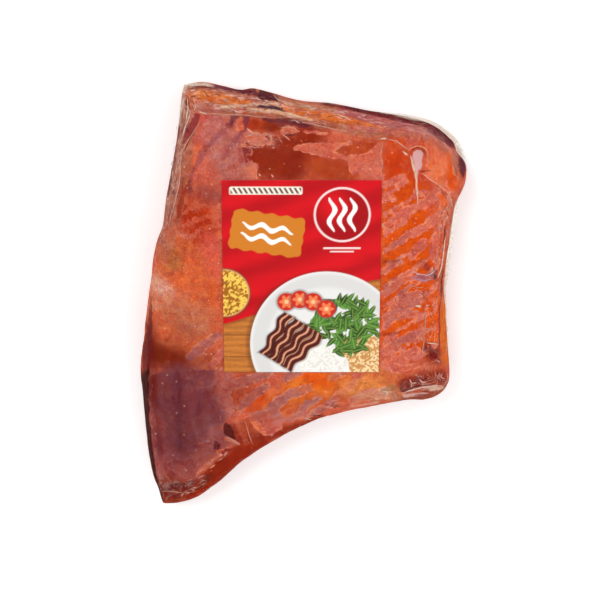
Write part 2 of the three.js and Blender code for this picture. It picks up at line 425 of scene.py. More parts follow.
def path_inside(q, path):
    """How far inside a path of spots (x, y, radius) each place is, negative outside: the
    radius along the nearest segment less the distance to it."""
    best = np.full(q.shape[:-1], -1e9)
    spots = [np.array(p, float) for p in path]
    if len(spots) == 1:
        spots = spots * 2
    for a, b in zip(spots[:-1], spots[1:]):
        run = b[:2] - a[:2]
        square = max(run @ run, 1e-9)
        t = np.clip(((q - a[:2]) @ run) / square, 0, 1)
        nearest = a[:2] + t[..., None] * run
        radius = a[2] + (b[2] - a[2]) * t
        best = np.maximum(best, radius - np.linalg.norm(q - nearest, axis=-1))
    return best


def shape_inside(q, corners):
    """How far inside a closed outline each place is, negative outside: the distance to the
    nearest side, with its sign from counting the sides crossed."""
    pts = np.array(corners, float)
    best = np.full(q.shape[:-1], 1e9)
    inside = np.zeros(q.shape[:-1], bool)
    x, y = q[..., 0], q[..., 1]
    for a, b in zip(pts, np.roll(pts, -1, 0)):
        run = b - a
        square = max(run @ run, 1e-9)
        t = np.clip(((q - a) @ run) / square, 0, 1)
        nearest = a + t[..., None] * run
        best = np.minimum(best, np.linalg.norm(q - nearest, axis=-1))
        rise = b[1] - a[1]
        if abs(rise) > 1e-9:
            crosses = (a[1] > y) != (b[1] > y)
            inside ^= crosses & (x < a[0] + (y - a[1]) / rise * run[0])
    return np.where(inside, best, -best)


def dab(canvas, q, ink, path, soft, strength=1.0):
    """Blends an ink into the canvas along a path of spots. Its cover falls from full, half
    the softness inside the path's edge, to none, half the softness outside it."""
    cover = strength * smooth(path_inside(q, path) / soft + 0.5)
    canvas += cover[..., None] * (ink_light(ink) - canvas)


# Soft colour of the slab where the film lies wet on it: ink, path, softness, strength
WET_DABS = (
    # upper left and middle
    ("salmon", [(200, 130, 30), (205, 190, 30)], 30, 1.0),
    ("wet_red", [(262, 158, 18), (290, 165, 20), (312, 134, 14)], 22, 1.0),
    ("wet_brown", [(318, 168, 12), (345, 172, 12)], 16, 0.9),
    ("wet_brown", [(255, 124, 9), (276, 125, 9)], 8, 0.8),
    ("wet_brown", [(340, 150, 8), (372, 148, 8)], 10, 0.8),
    ((160, 56, 36), [(252, 124, 4), (259, 126, 4)], 5, 0.8),
    ((136, 48, 28), [(268, 126, 5), (275, 128, 5)], 5, 0.85),
    ("purple", [(279, 124, 2.4), (286, 126, 2)], 4, 0.7),
    ((144, 46, 28), [(275, 140, 4), (282, 143, 6), (290, 141, 4)], 6, 0.85),
    ((204, 108, 86), [(336, 131, 3), (360, 134, 3), (380, 137, 2.4)], 4, 0.8),
    ((204, 78, 40), [(392, 141, 5), (410, 140, 5), (430, 144, 5), (448, 154, 4)], 5, 0.85),
    # right side
    ("orange", [(395, 160, 16), (408, 190, 24)], 26, 1.0),
    ((216, 86, 28), [(408, 214, 28), (410, 260, 32), (410, 330, 32)], 26, 1.0),
    ("orange_bright", [(388, 236, 7), (396, 228, 6)], 10, 0.9),
    ("orange_bright", [(392, 251, 6)], 9, 0.8),
    ("orange_bright", [(455, 165, 6), (452, 185, 6)], 8, 0.9),
    ("orange_bright", [(437, 290, 5), (436, 318, 5), (437, 336, 5)], 8, 0.7),
    ("orange_bright", [(395, 322, 8), (406, 355, 7)], 12, 0.8),
    ("wet_red", [(430, 352, 9), (434, 362, 7)], 10, 0.9),
    ((218, 112, 44), [(445, 302, 4), (446, 330, 5), (446, 360, 5)], 5, 0.95),
    # left side
    ("tan", [(190, 262, 34), (190, 320, 34)], 30, 1.0),
    ((174, 98, 76), [(178, 306, 14), (190, 324, 18)], 26, 0.95),
    ("salmon", [(196, 262, 14), (206, 252, 8)], 16, 0.5),
    ((182, 56, 26), [(184, 216, 8), (196, 222, 16), (206, 232, 12)], 12, 0.95),
    ((148, 46, 28), [(184, 204, 4), (181, 216, 4)], 6, 0.9),
    ((216, 106, 66), [(190, 276, 20), (186, 292, 16)], 26, 0.9),
    ("olive", [(170, 250, 7), (174, 264, 7)], 14, 0.6),
    ("orange_bright", [(212, 284, 4), (213, 304, 4)], 10, 0.45),
    ((216, 94, 82), [(210, 244, 9), (216, 270, 7)], 14, 0.7),
    ((206, 126, 96), [(160, 304, 10), (180, 306, 14), (198, 318, 10)], 20, 0.65),
    ((126, 50, 34), [(149, 326, 3), (153, 346, 8)], 12, 0.8),
    # painted soft highlights on the left side
    ((226, 174, 156), [(156, 284, 8), (166, 291, 6)], 16, 0.85),
    ("cream_pink", [(155, 305, 4)], 12, 0.5),
    ((122, 44, 26), [(156, 354, 14), (182, 362, 12)], 22, 1.0),
    ((158, 78, 58), [(200, 362, 9), (216, 362, 8)], 14, 0.85),
    ("salmon", [(216, 330, 6), (219, 300, 6)], 12, 0.5),
    # lower left
    ((124, 62, 68), [(180, 394, 30), (186, 420, 28), (178, 446, 22)], 14, 1.0),
    ((172, 80, 68), [(230, 394, 9), (228, 414, 8)], 10, 0.85),
    ("wet_deep", [(154, 376, 4), (154, 396, 3)], 6, 0.7),
    ("wet_deep", [(172, 490, 16), (190, 486, 12)], 14, 0.9),
    ("wet_brown", [(240, 392, 10), (246, 378, 8)], 16, 0.6),
    # lower side
    ((168, 76, 56), [(238, 392, 13), (250, 402, 11)], 14, 0.85),
    ((208, 100, 52), [(262, 402, 9), (284, 404, 12), (322, 394, 15), (350, 386, 14)], 16, 1.0),
    ((226, 118, 46), [(296, 388, 13), (326, 382, 11)], 12, 0.95),
    ("orange", [(254, 402, 5), (262, 396, 5), (250, 410, 5)], 8, 0.7),
    ("orange_bright", [(308, 376, 7), (324, 382, 7)], 10, 0.9),
    ((222, 136, 76), [(352, 388, 11), (372, 386, 12), (392, 380, 13)], 16, 0.95),
    ("salmon", [(400, 378, 12), (430, 376, 10)], 16, 0.7),
    ((150, 46, 28), [(262, 446, 8), (240, 458, 13), (222, 470, 12), (206, 484, 9), (190, 494, 6)],
     8, 1.0),
    ((150, 50, 34), [(231, 430, 7), (238, 440, 6)], 6, 0.95),
    ((182, 76, 46), [(247, 428, 8), (253, 438, 6)], 8, 0.85),
    ("wet_red", [(250, 440, 5), (290, 430, 6), (320, 418, 3)], 8, 0.9),
    ("wet_red", [(405, 386, 5), (424, 382, 6), (440, 378, 6)], 8, 0.8),
    ((150, 80, 62), [(398, 399, 4), (420, 398, 5), (440, 392, 6), (450, 382, 4)], 6, 0.9),
    ((194, 128, 100), [(374, 397, 6), (392, 395, 7)], 8, 0.85),
)

# Soft colour of the slab in the pale zone: the film's sheen painted in as colour, and the pale bands of fat
SHEEN_AND_FAT_DABS = (
    ("salmon_pink", [(200, 130, 40), (205, 200, 40)], 40, 1.0),
    ("lilac", [(228, 150, 18), (232, 168, 16)], 20, 0.9),
    ("salmon_light", [(190, 152, 8), (188, 166, 8)], 12, 0.9),
    ("rose", [(205, 126, 8), (214, 120, 8)], 14, 0.6),
    ("salmon", [(206, 186, 10), (202, 198, 10)], 14, 0.7),
    ((190, 116, 112), [(216, 122, 8), (208, 138, 7), (216, 150, 6)], 10, 0.75),
    ((184, 104, 98), [(242, 150, 6), (238, 166, 7), (232, 176, 6)], 10, 0.7),
    ((196, 116, 98), [(250, 172, 8)], 8, 0.7),
    ((206, 124, 104), [(256, 142, 12), (270, 140, 8)], 8, 0.8),
    ((208, 122, 98), [(290, 129, 10)], 8, 0.8),
    ((150, 76, 84), [(236, 118, 2.4), (223, 131, 2.8), (207, 147, 2.6), (194, 168, 2.4),
                     (188, 180, 2.4)], 4.4, 0.8),
    ("purple", [(248, 118, 3), (244, 128, 2.5), (240, 136, 2)], 4, 0.9),
    ((152, 78, 84), [(240, 134, 2.6), (230, 147, 2.8), (222, 160, 1.6)], 4.4, 0.85),
    ("purple", [(234, 117, 2.5), (231, 127, 2)], 3.5, 0.9),
    ("purple", [(189, 183, 3), (190, 200, 3)], 6, 0.75),
    ((204, 106, 88), [(300, 148, 20), (350, 150, 20), (372, 160, 20)], 20, 1.0),
    ((206, 116, 94), [(252, 172, 6)], 8, 0.9),
    ("salmon_light", [(436, 165, 24)], 24, 1.0),
    ("rose", [(412, 140, 8)], 6, 0.8),
    ("stripe", [(400, 210, 36), (410, 280, 36), (410, 350, 36)], 30, 1.0),
    ("lilac", [(398, 240, 8), (390, 286, 8), (412, 300, 10), (388, 322, 6)], 14, 0.6),
    ("lilac", [(414, 334, 8), (395, 345, 6)], 12, 0.6),
    ("rose", [(418, 248, 8), (436, 252, 7)], 10, 0.7),
    ("tan", [(190, 290, 40)], 40, 1.0),
    ((198, 86, 58), [(196, 214, 18), (206, 232, 14)], 14, 1.0),
    ((200, 86, 72), [(221, 212, 5), (221, 250, 5)], 6, 0.9),
    ("lilac", [(190, 356, 10), (218, 336, 8)], 14, 0.9),
    ((146, 72, 74), [(180, 450, 36), (206, 440, 34)], 40, 1.0),
    ((124, 62, 68), [(184, 392, 38), (194, 414, 34), (182, 438, 22)], 20, 1.0),
    ("wet_deep", [(154, 376, 4), (154, 396, 3)], 6, 0.7),
    ("lilac_deep", [(190, 384, 5), (214, 382, 4)], 14, 0.5),
    ("purple_deep", [(178, 375, 3), (180, 448, 4)], 12, 0.5),
    ((190, 100, 84), [(232, 443, 3), (214, 458, 3.4), (200, 469, 3.4), (206, 479, 3)], 6, 0.7),
    ((158, 80, 76), [(212, 446, 9), (196, 462, 9), (184, 474, 8)], 14, 0.6),
    ("wet_deep", [(164, 484, 9), (180, 488, 8), (196, 484, 5)], 10, 0.85),
    ((158, 84, 84), [(214, 431, 7), (222, 441, 5), (208, 452, 7)], 10, 0.8),
    ((214, 130, 108), [(227, 438.6, 2), (236, 443, 1.6), (241, 445.6, 1)], 3, 0.9),
    ((206, 116, 92), [(220, 456, 2), (214, 461, 2.4), (206, 467, 2), (198, 474, 1.6)], 3, 0.85),
    ("purple", [(205, 194, 10), (216, 196, 6)], 14, 0.55),
    ("lilac", [(250, 390, 30), (300, 390, 30)], 30, 1.0),
    ((164, 86, 78), [(240, 392, 16), (256, 400, 15)], 14, 0.9),
    ((216, 128, 92), [(300, 384, 8), (330, 384, 10), (356, 390, 8)], 12, 0.8),
    ("salmon_pink", [(268, 424, 9), (262, 430, 6)], 10, 0.8),
    ("salmon_light", [(254, 424, 4), (262, 433, 4)], 6, 0.8),
    ("tan_light", [(342, 390, 12), (320, 376, 8)], 16, 0.7),
    ("cream_pink", [(384, 393, 7)], 10, 0.8),
    ("salmon", [(404, 380, 12), (436, 378, 12)], 14, 0.6),
    ((222, 160, 132), [(358, 399, 4), (376, 397, 7), (390, 394, 7)], 10, 0.85),
    ((150, 80, 62), [(398, 399, 4), (420, 398, 5), (440, 392, 6), (450, 382, 4)], 6, 0.9),
    ("lilac_deep", [(416, 275, 2.5), (433, 277, 3)], 4, 0.75),
)

# Outlines of the places where the film's sheen is painted in as pale colour
PAINTED_SHEEN_SHAPES = (
    # upper left panel, up to the flakes
    [(186, 108), (232, 112), (236, 117), (238, 131), (244, 130), (247.4, 127.8), (251, 131), (255, 133),
     (260.6, 133.8), (265, 133), (269, 134.6), (272, 137.6), (272, 141), (270.8, 143), (270.5, 148.6),
     (269, 145), (264.8, 145.2), (263, 148), (261, 144.8), (258.4, 148), (254, 146.6), (251.4, 145),
     (247.4, 142.6), (242.4, 145.4), (246.4, 147.6), (250, 148), (255, 149.8), (252.4, 153),
     (251.4, 155.6),
     (247, 156.6), (250.4, 160), (252.4, 162.4), (256, 163.6), (259, 166), (257, 171.6), (256, 182),
     (222, 182), (222, 206), (208, 207), (196, 203), (186, 205),
     (176, 200), (170, 170)],
    # flakes under the upper edge
    [(280.6, 131), (283, 127.6), (291, 126), (298, 128.6), (299.4, 131.4), (296, 134), (290, 134.6),
     (285, 133.4)],
    [(303, 130), (312, 130.4), (330, 132.6), (326, 135), (312, 133.6), (305, 133)],
    # the tongue and the patch beside the label's upper right corner
    [(291, 148.5), (298, 145), (305, 143.3), (330, 142.7), (347, 142.8), (350.5, 139), (353, 144.5),
     (342, 146.5), (333.3, 152), (346, 155.4), (363, 154.3), (372, 149), (377, 143), (380, 141.7),
     (383, 144), (380.6, 147), (383.4, 151), (380.8, 155), (383.4, 159), (381, 163), (383.6, 167),
     (381, 171), (384, 176), (383, 182), (362, 182), (357, 172), (352, 176), (349.4, 170), (349, 162),
     (346, 160), (323, 157.7), (310.7, 154.2), (300, 151.5)],
    # the patch and the panel at the upper right
    [(405, 137), (412, 134.5), (420, 137), (419, 145), (410, 147), (405, 143)],
    [(424, 141), (436, 140), (447, 146), (448, 170), (447, 188), (437, 185), (424, 174), (427, 160),
     (427, 152)],
    # the lobe above the lower edge
    [(249, 414), (253, 427), (263, 435.5), (272, 434.5), (281, 429), (284, 418), (279, 410), (290, 400),
     (313, 391), (311, 384), (290, 389), (272, 400), (262, 411)],
    # the sheet at the tail with its pointed tongues
    [(148, 374), (222, 369), (232, 373), (231, 394), (236, 411), (225, 421), (220.6, 428), (227, 436.5),
     (240.5, 444.2), (229, 446.5),
     (219.3, 450.6), (216, 453.5), (221, 455), (229, 452.5), (223, 459), (213, 462), (215, 465.4),
     (206, 470), (198.9, 472.2), (196, 475.5), (202, 478.6), (193, 484), (184.8, 488.5), (176, 489),
     (168, 493), (158, 488), (150, 450)],
)

# Bands of fat and lean beside the label and below it: paths that look pale
PALE_BANDS = (
    [(384, 186, 3.5), (395, 181, 4), (404, 177, 3)],
    [(384, 201, 2.2), (395, 199, 2.4)],
    [(386, 226, 3.5), (401, 214, 4.5), (413, 208, 4.5), (426, 203, 5.5), (437, 192, 4)],
    [(396, 245, 3), (410, 234, 4), (424, 228, 4.2), (438, 222, 2.5)],
    [(412, 256, 4), (420, 247, 5.5), (424, 242, 3.5)],
    [(436, 236, 4), (433, 252, 4.5), (437, 262, 3)],
    [(384, 272, 4), (392, 264, 3.5), (402, 262, 2)],
    [(384, 294, 4), (396, 285, 4.5), (408, 278, 3.5), (424, 279, 2.5)],
    [(386, 318, 4), (400, 304, 5.5), (413, 296, 5.5), (424, 293, 3)],
    [(398, 318, 3), (412, 314, 4), (422, 316, 3)],
    [(385, 327, 3.5), (392, 320, 3)],
    [(385, 352, 4.5), (400, 341, 4.5), (414, 334, 4), (424, 330, 3)],
    [(392, 364, 4), (404, 356, 3), (416, 350, 4)],
    [(385, 366, 3.5), (400, 370, 3.5), (418, 366, 3)],
    [(180, 215.5, 1.4), (190, 209, 2.2), (202, 207, 1.4)],
    [(183, 227, 1.4), (196, 219, 2.4), (213, 217, 1.6)],
    [(189, 238, 1.6), (203, 229, 2.4), (217, 227, 1.6)],
    [(176, 231, 1), (186, 237, 1.6)],
    [(219, 207, 1.6), (221.5, 230, 1.8), (221, 254, 1.4)],
    [(153, 258, 1.6), (155, 272, 1.2)],
    [(190, 356.7, 5), (203, 347, 5), (217.8, 335.3, 4)],
    [(213, 364, 4), (223, 352, 4)],
    [(228.7, 386, 5), (250, 380, 5), (268.8, 374, 4)],
    [(240.6, 408.7, 4), (252.5, 395.7, 4.5), (267.7, 385.5, 3)],
    [(287, 421, 2.5), (299, 415, 3.4), (309, 404, 3.6), (321, 398, 2)],
    [(306, 418, 2), (318, 410, 2.6), (330, 406, 2)],
    [(328.4, 406, 4), (339.3, 395, 4), (353.4, 384, 3.6), (357.7, 374, 3.6)],
    [(286, 378, 4), (300, 374, 3)],
    [(330, 378, 3.5), (344, 374, 3)],
    [(352, 401, 4), (366, 394, 4), (384, 393, 7)],
)

# Zones where finer bands show between the named ones: outline, slope in degrees, spacing
BAND_ZONES = (
    ([(383, 182), (404, 178), (440, 196), (446, 215), (438, 262), (438, 362), (400, 374), (383, 374)],
     34, 15.0),
)

# Soft dark marks: ink, path, softness, strength
DARK_MARKS = (
    # first: painted shade along the left side wall
    ("maroon", [(147, 322, 1), (151, 345, 4), (151, 380, 5), (154, 420, 5), (160, 455, 3)], 7, 0.5),
    ("purple_deep", [(178.5, 373, 1), (179, 448, 1)], 6, 0.35),
    ("purple_deep", [(199, 404, 2), (198, 416, 2)], 6, 0.5),
    ("purple_deep", [(187, 382, 2), (194, 384, 2)], 6, 0.4),
    ("wet_brown", [(186, 243, 1), (181, 275, 1)], 3, 0.5),
    ("wet_red", [(166, 340, 1), (165, 364, 1)], 3, 0.5),
    ("wet_red", [(184, 178, 1), (180, 200, 2), (177, 220, 2)], 5, 0.7),
    ("maroon", [(280, 118.5, 2), (296, 121.5, 2.6), (312, 125.5, 2)], 4, 0.7),
    ("wet_red", [(383, 262, 1.8), (398, 261, 1)], 3, 0.7),
    ("wet_red", [(384, 335, 1.6), (400, 332, 1)], 3, 0.7),
    ("wet_red", [(430, 352, 4), (436, 356, 3)], 5, 0.6),
    ("wet_red", [(404, 384, 5), (424, 378, 7), (440, 376, 6)], 8, 0.7),
    ("purple", [(433, 275, 3), (436, 271, 2)], 4, 0.7),
    ((124, 54, 70), [(423, 262, 2.4), (428, 269, 3)], 5, 0.6),
    ((178, 112, 134), [(414, 278, 2), (426, 280, 2.6), (433, 277, 2)], 3, 0.6),
    ("wet_red", [(424, 292, 2), (425, 300, 1.6)], 3, 0.6),
    ("wet_red", [(224, 462, 5), (210, 474, 5), (200, 480, 4)], 6, 0.6),
)

# Crisp marks: ink, outline, strength
CRISP_MARKS = (
    # painted shade of the left side wall: dark along its edge, with a dark red band above
    ("side_shade", [(128, 396), (137, 382), (145, 368), (149.8, 348), (149.2, 380), (149.2, 402),
              (149.8, 425), (151.8, 446), (155.6, 470), (161, 494), (164, 506), (154, 500), (144, 460),
              (138, 420), (134, 390)], 0.94),
    ((94, 34, 36), [(151.6, 286), (151.2, 320), (150.8, 340), (149.4, 368), (141, 374), (141.6, 358),
                    (145.6, 336), (149.4, 308)], 0.72),
    ((132, 48, 52), [(196, 112.6), (200.4, 115), (198.6, 120), (195.6, 127), (191, 135), (186.6, 140),
                     (181.4, 144.6), (180.4, 142), (184, 136), (186.6, 129), (191.4, 119)], 0.85),
    ("wet_red", [(188.6, 181), (190, 186), (184, 200), (181, 216), (177, 222), (177, 208), (183, 190)],
     0.7),
    ("maroon", [(158, 483), (170, 486), (186, 486), (198, 481.4), (190, 489), (172, 491), (160, 487)],
     0.6),
    ("maroon", [(162, 493), (176, 494.6), (188, 492), (176, 498), (164, 498)], 0.5),
    ((122, 40, 38), [(399, 390.4), (405, 385), (412, 382), (420, 377.4), (429, 378.6), (424, 383.4),
                     (416, 386.6), (408, 389.4), (402, 393)], 0.62),
    # painted shadow in olive at the lower right
    ((150, 104, 66), [(380.6, 389.6), (387, 385.4), (393, 384.6), (396.6, 387), (396, 391),
                      (389, 391.4), (384, 394), (381, 392.6)], 0.6),
    ("maroon", [(424, 346), (430, 343.6), (432, 349), (438, 350), (437, 358), (431, 360), (428.6, 353),
                (424, 352)], 0.6),
    ("maroon", [(329, 404), (337, 404.6), (343, 407.6), (335, 409), (330, 407.6)], 0.6),
    ((98, 38, 52), [(210, 83), (226, 85), (248, 86), (250, 91), (240, 91.6), (226, 89.6), (213, 87)],
     0.85),
    ((74, 20, 36), [(258.6, 92.4), (260, 87), (270, 91), (279, 96), (279, 100), (270, 100.4),
                    (262, 99.4), (258.6, 97.4)], 0.9),
    ((84, 28, 42), [(234, 85), (246, 86), (256, 87), (256.4, 91), (250, 94), (243, 93.4)], 0.75),
    ((58, 36, 56), [(258, 105.4), (272, 105.6), (283, 107.6), (283, 111), (272, 109.4), (260, 108)],
     0.85),
    ((84, 34, 48), [(262, 118), (278, 119), (296, 122), (309, 125), (308, 127.6), (294, 126.4),
                    (280, 123.6), (262, 121)], 0.75),
    ("maroon", [(340, 103), (357, 106), (380, 111), (405, 115.6), (425, 120), (440, 127), (452, 137),
                (460, 149), (452, 149), (440, 139), (425, 128), (405, 121), (385, 117.6), (360, 111.6),
                (346, 107.6)], 0.7),
    ("purple_deep", [(459.6, 156), (465, 158), (466.6, 168), (464, 179), (461, 173), (458.4, 164)],
     0.8),
    ("wet_red", [(186, 96.4), (188.6, 96.4), (189, 105), (186.4, 105)], 0.6),
    # fangs and cracks of the upper left
    ((98, 42, 62), [(244.6, 116.6), (250.4, 117.4), (248.6, 123), (246.6, 130), (245.4, 134),
                    (243.4, 133.6), (244.2, 126), (243, 121)], 0.72),
    ((104, 46, 56), [(230, 115), (241, 115.6), (238, 119), (234, 121), (232, 128), (230, 126)], 0.7),
    ((112, 34, 38), [(241, 147), (248, 149), (253, 150), (251, 154), (247, 154), (246, 158),
                     (249.6, 163), (246, 164), (243.6, 156)], 0.75),
    # a pale drop painted as a highlight, and corners of the upper right
    ((204, 160, 160), [(413.6, 152), (416.4, 150.2), (420.4, 150), (422.6, 153.4), (422, 159.4),
                       (421, 164), (421.6, 168), (418.6, 171), (418, 178), (416, 180), (415, 172),
                       (413.6, 168), (414, 163), (411.8, 159)], 0.88),
    ((220, 92, 36), [(438, 193), (443, 195), (448.6, 202), (449, 206), (442, 210)], 0.75),
    ((212, 82, 26), [(446.6, 150.4), (451, 154), (452.4, 164), (452.6, 176), (447, 182), (446.4, 166)],
     0.6),
    # lower right corner: pale marks along the rim, painted as highlights
    ((226, 192, 170), [(426, 388.4), (434, 386), (443.6, 386.6), (446, 388), (440, 390.6), (434, 392),
                       (430, 391.4)], 0.6),
    ((206, 168, 156), [(401, 394), (410, 393.6), (422, 392.6), (428, 393.6), (420, 396), (408, 397.6),
                       (402, 397)], 0.75),
    # pockets at the tail
    ((78, 20, 26), [(223, 424), (226, 422.6), (229.4, 425), (233, 430), (235.4, 437.6), (234.4, 440.6),
                    (228, 437), (223.4, 433)], 0.9),
    ((88, 26, 32), [(216, 441.6), (220.4, 445), (221.2, 448), (219, 450.4), (214.2, 450),
                    (213.6, 446.6)], 0.85),
    ((124, 36, 36), [(219.6, 453), (226, 449), (237, 447.6), (230, 451), (224, 454)], 0.75),
    ((76, 34, 38), [(158, 489), (170, 484), (186, 482.6), (197, 479), (192, 484), (176, 488),
                    (164, 493)], 0.6),
    ((96, 36, 26), [(197, 485), (207, 475), (214, 472), (210, 480), (202, 489), (194, 492)], 0.55),
    # gaps round the patch on the upper face
    ((92, 26, 34), [(251.6, 146.6), (256, 146.4), (257.6, 149), (254.6, 150.2), (252.4, 148.6)], 0.85),
    ((104, 34, 44), [(245.6, 148.6), (250, 149.4), (252.4, 151.4), (250.4, 154.4), (247.4, 152.6)],
     0.85),
    ((112, 36, 36), [(244.6, 142.2), (247, 142.6), (250, 144.6), (247, 145)], 0.8),
    ((116, 40, 38), [(245.2, 160.2), (247.6, 161), (250, 163.6), (247.4, 163.4)], 0.7),
    ((120, 34, 34), [(265, 134.8), (268, 136), (271, 139.4), (269.4, 139.8), (267, 137.8),
                     (264.6, 137)], 0.8),
    # left side: painted shadows in two dents
    ((150, 64, 58), [(161, 271.6), (174, 273.2), (173, 276.6), (168, 278.6), (164, 276.6)], 0.5),
    ((158, 56, 48), [(200.2, 297.4), (208.2, 297.6), (207, 301.6), (203, 303), (200, 301)], 0.45),
)

# Layers on the cut upper end and on the left strip
END_DABS = (
    ((216, 118, 50), [(192, 94, 4.6), (205, 95, 5.4), (222, 98, 5), (238, 101, 3.4), (250, 102.6, 2)],
     2.4, 0.95),
    ((200, 92, 30), [(194, 100, 2.4), (210, 99, 2.4), (226, 101, 2)], 3, 0.8),
    ("amber", [(284, 107, 2.5), (300, 112, 4.5), (330, 117, 5), (360, 121, 4.5), (382, 126, 3)],
     5, 0.9),
    ((206, 112, 60), [(286, 106.6, 1.6), (298, 111, 2.4), (308, 115, 2.6), (324, 117, 2.6)], 2, 0.85),
    ((186, 94, 30), [(338, 122.6, 1.4), (345, 123.4, 2.2), (352, 125, 1.4)], 2, 0.9),
    ((192, 140, 108), [(282, 101, 2), (298, 104, 3), (314, 108, 2)], 3, 0.7),
    ((140, 48, 50), [(338, 110, 2), (356, 115, 3), (372, 119, 3)], 3, 0.75),
    ("maroon", [(189, 87.6, 0.8), (210, 87, 1.0), (232, 90.6, 1.4), (252, 91.6, 1.8), (262, 95, 2.6),
                (277, 99, 2)], 2.0, 0.9),
    ("maroon", [(186, 92, 1), (186.5, 104, 1.4)], 2.4, 0.7),
    ("navy", [(259, 106.6, 1.2), (272, 108.4, 1.6), (284, 110.6, 1.2)], 2, 0.9),
    ((176, 92, 96), [(340, 110, 3), (357, 114, 4), (380, 120, 5), (403, 124.5, 5.5), (426, 129, 6),
                     (442, 137, 5)], 4, 0.85),
    ("maroon", [(322, 103, 1.0), (340, 105.6, 1.6), (357, 109, 2), (380, 114, 2.6), (403, 118.6, 3),
                (426, 123.4, 3.4), (440, 130, 4.4), (452, 141, 5)], 2.4, 0.9),
    ("navy", [(436, 128, 1.4), (446, 134, 2.4), (453, 143, 2.4)], 4, 0.7),
    ((196, 108, 98), [(352, 127, 2.6), (385, 131, 3), (414, 132, 3), (436, 139, 2.6), (454, 151, 2.4)],
     3, 0.9),
    ("lilac", [(196, 107, 2.5), (214, 109.5, 2.5), (236, 111, 2.2)], 3, 0.8),
    # pale streaks on the cut end, painted as glints of the film
    ((214, 176, 152), [(222, 106, 1.6), (247, 105, 1.8), (262, 103.6, 1.8), (278, 103.4, 1.4)],
     1.8, 0.85),
    ((226, 190, 160), [(248, 109.5, 1.4), (272, 111.4, 1.8), (293, 115, 1.6), (312, 120, 1.2)],
     1.6, 0.85),
    ((128, 66, 40), [(222, 110.4, 1.4), (231, 110.6, 1.2)], 1.6, 0.8),
    ((182, 92, 62), [(234, 112, 1.4), (262, 113.6, 1.4)], 1.8, 0.8),
    ((150, 88, 72), [(180, 112, 3), (178, 140, 3), (173, 170, 3), (168, 205, 3), (164, 228, 2)],
     4, 0.75),
    ("maroon", [(178.6, 116, 0.5), (176.5, 142, 0.8), (171.5, 170, 0.9), (167.5, 196, 0.8)], 1.6, 0.8),
    ((184, 130, 116), [(181, 128, 1), (178, 150, 1.4), (173, 180, 1.8), (167, 212, 2)], 3, 0.8),
    ((206, 160, 146), [(186, 86, 2), (183, 104, 2), (182, 116, 1)], 3, 0.7),
    ("maroon", [(463, 160, 2.2), (465, 170, 2.2), (463, 180, 2)], 3.4, 0.75),
    ("lilac", [(459, 182, 3), (456, 192, 2)], 4, 0.7),
)

# Where the film is crushed into small wrinkles, which take a bump, painted glints and painted shade: path,
# softness, strength
CRUSHED = (
    ([(186, 90, 7), (205, 96, 9), (235, 102, 10), (270, 107, 11), (300, 113, 10)], 6, 1.0),
    ([(300, 113, 9), (340, 118, 9), (380, 124, 9), (415, 126, 8), (445, 136, 7), (458, 150, 5)],
     6, 0.7),
    ([(184, 104, 6), (181, 135, 6), (174, 175, 5), (168, 215, 5), (160, 240, 3)], 4, 0.9),
    ([(254, 139, 8), (268, 141, 7), (290, 128, 6)], 8, 0.3),
    ([(446, 196, 5), (444, 240, 5), (438, 272, 6), (440, 300, 5)], 6, 0.7),
    ([(430, 300, 9), (430, 340, 9), (428, 362, 9)], 10, 0.45),
    ([(404, 388, 5), (425, 383, 9), (442, 380, 6)], 6, 0.9),
    ([(160, 488, 5), (185, 489, 7), (205, 480, 4)], 5, 1.0),
    ([(446, 192, 6), (452, 206, 4)], 6, 0.9),
    ([(200, 222, 18), (186, 228, 12)], 12, 0.15),
    ([(150, 400, 2), (156, 450, 3), (162, 480, 3)], 4, 0.2),
    ([(335, 405, 5), (310, 416, 3)], 5, 0.6),
)
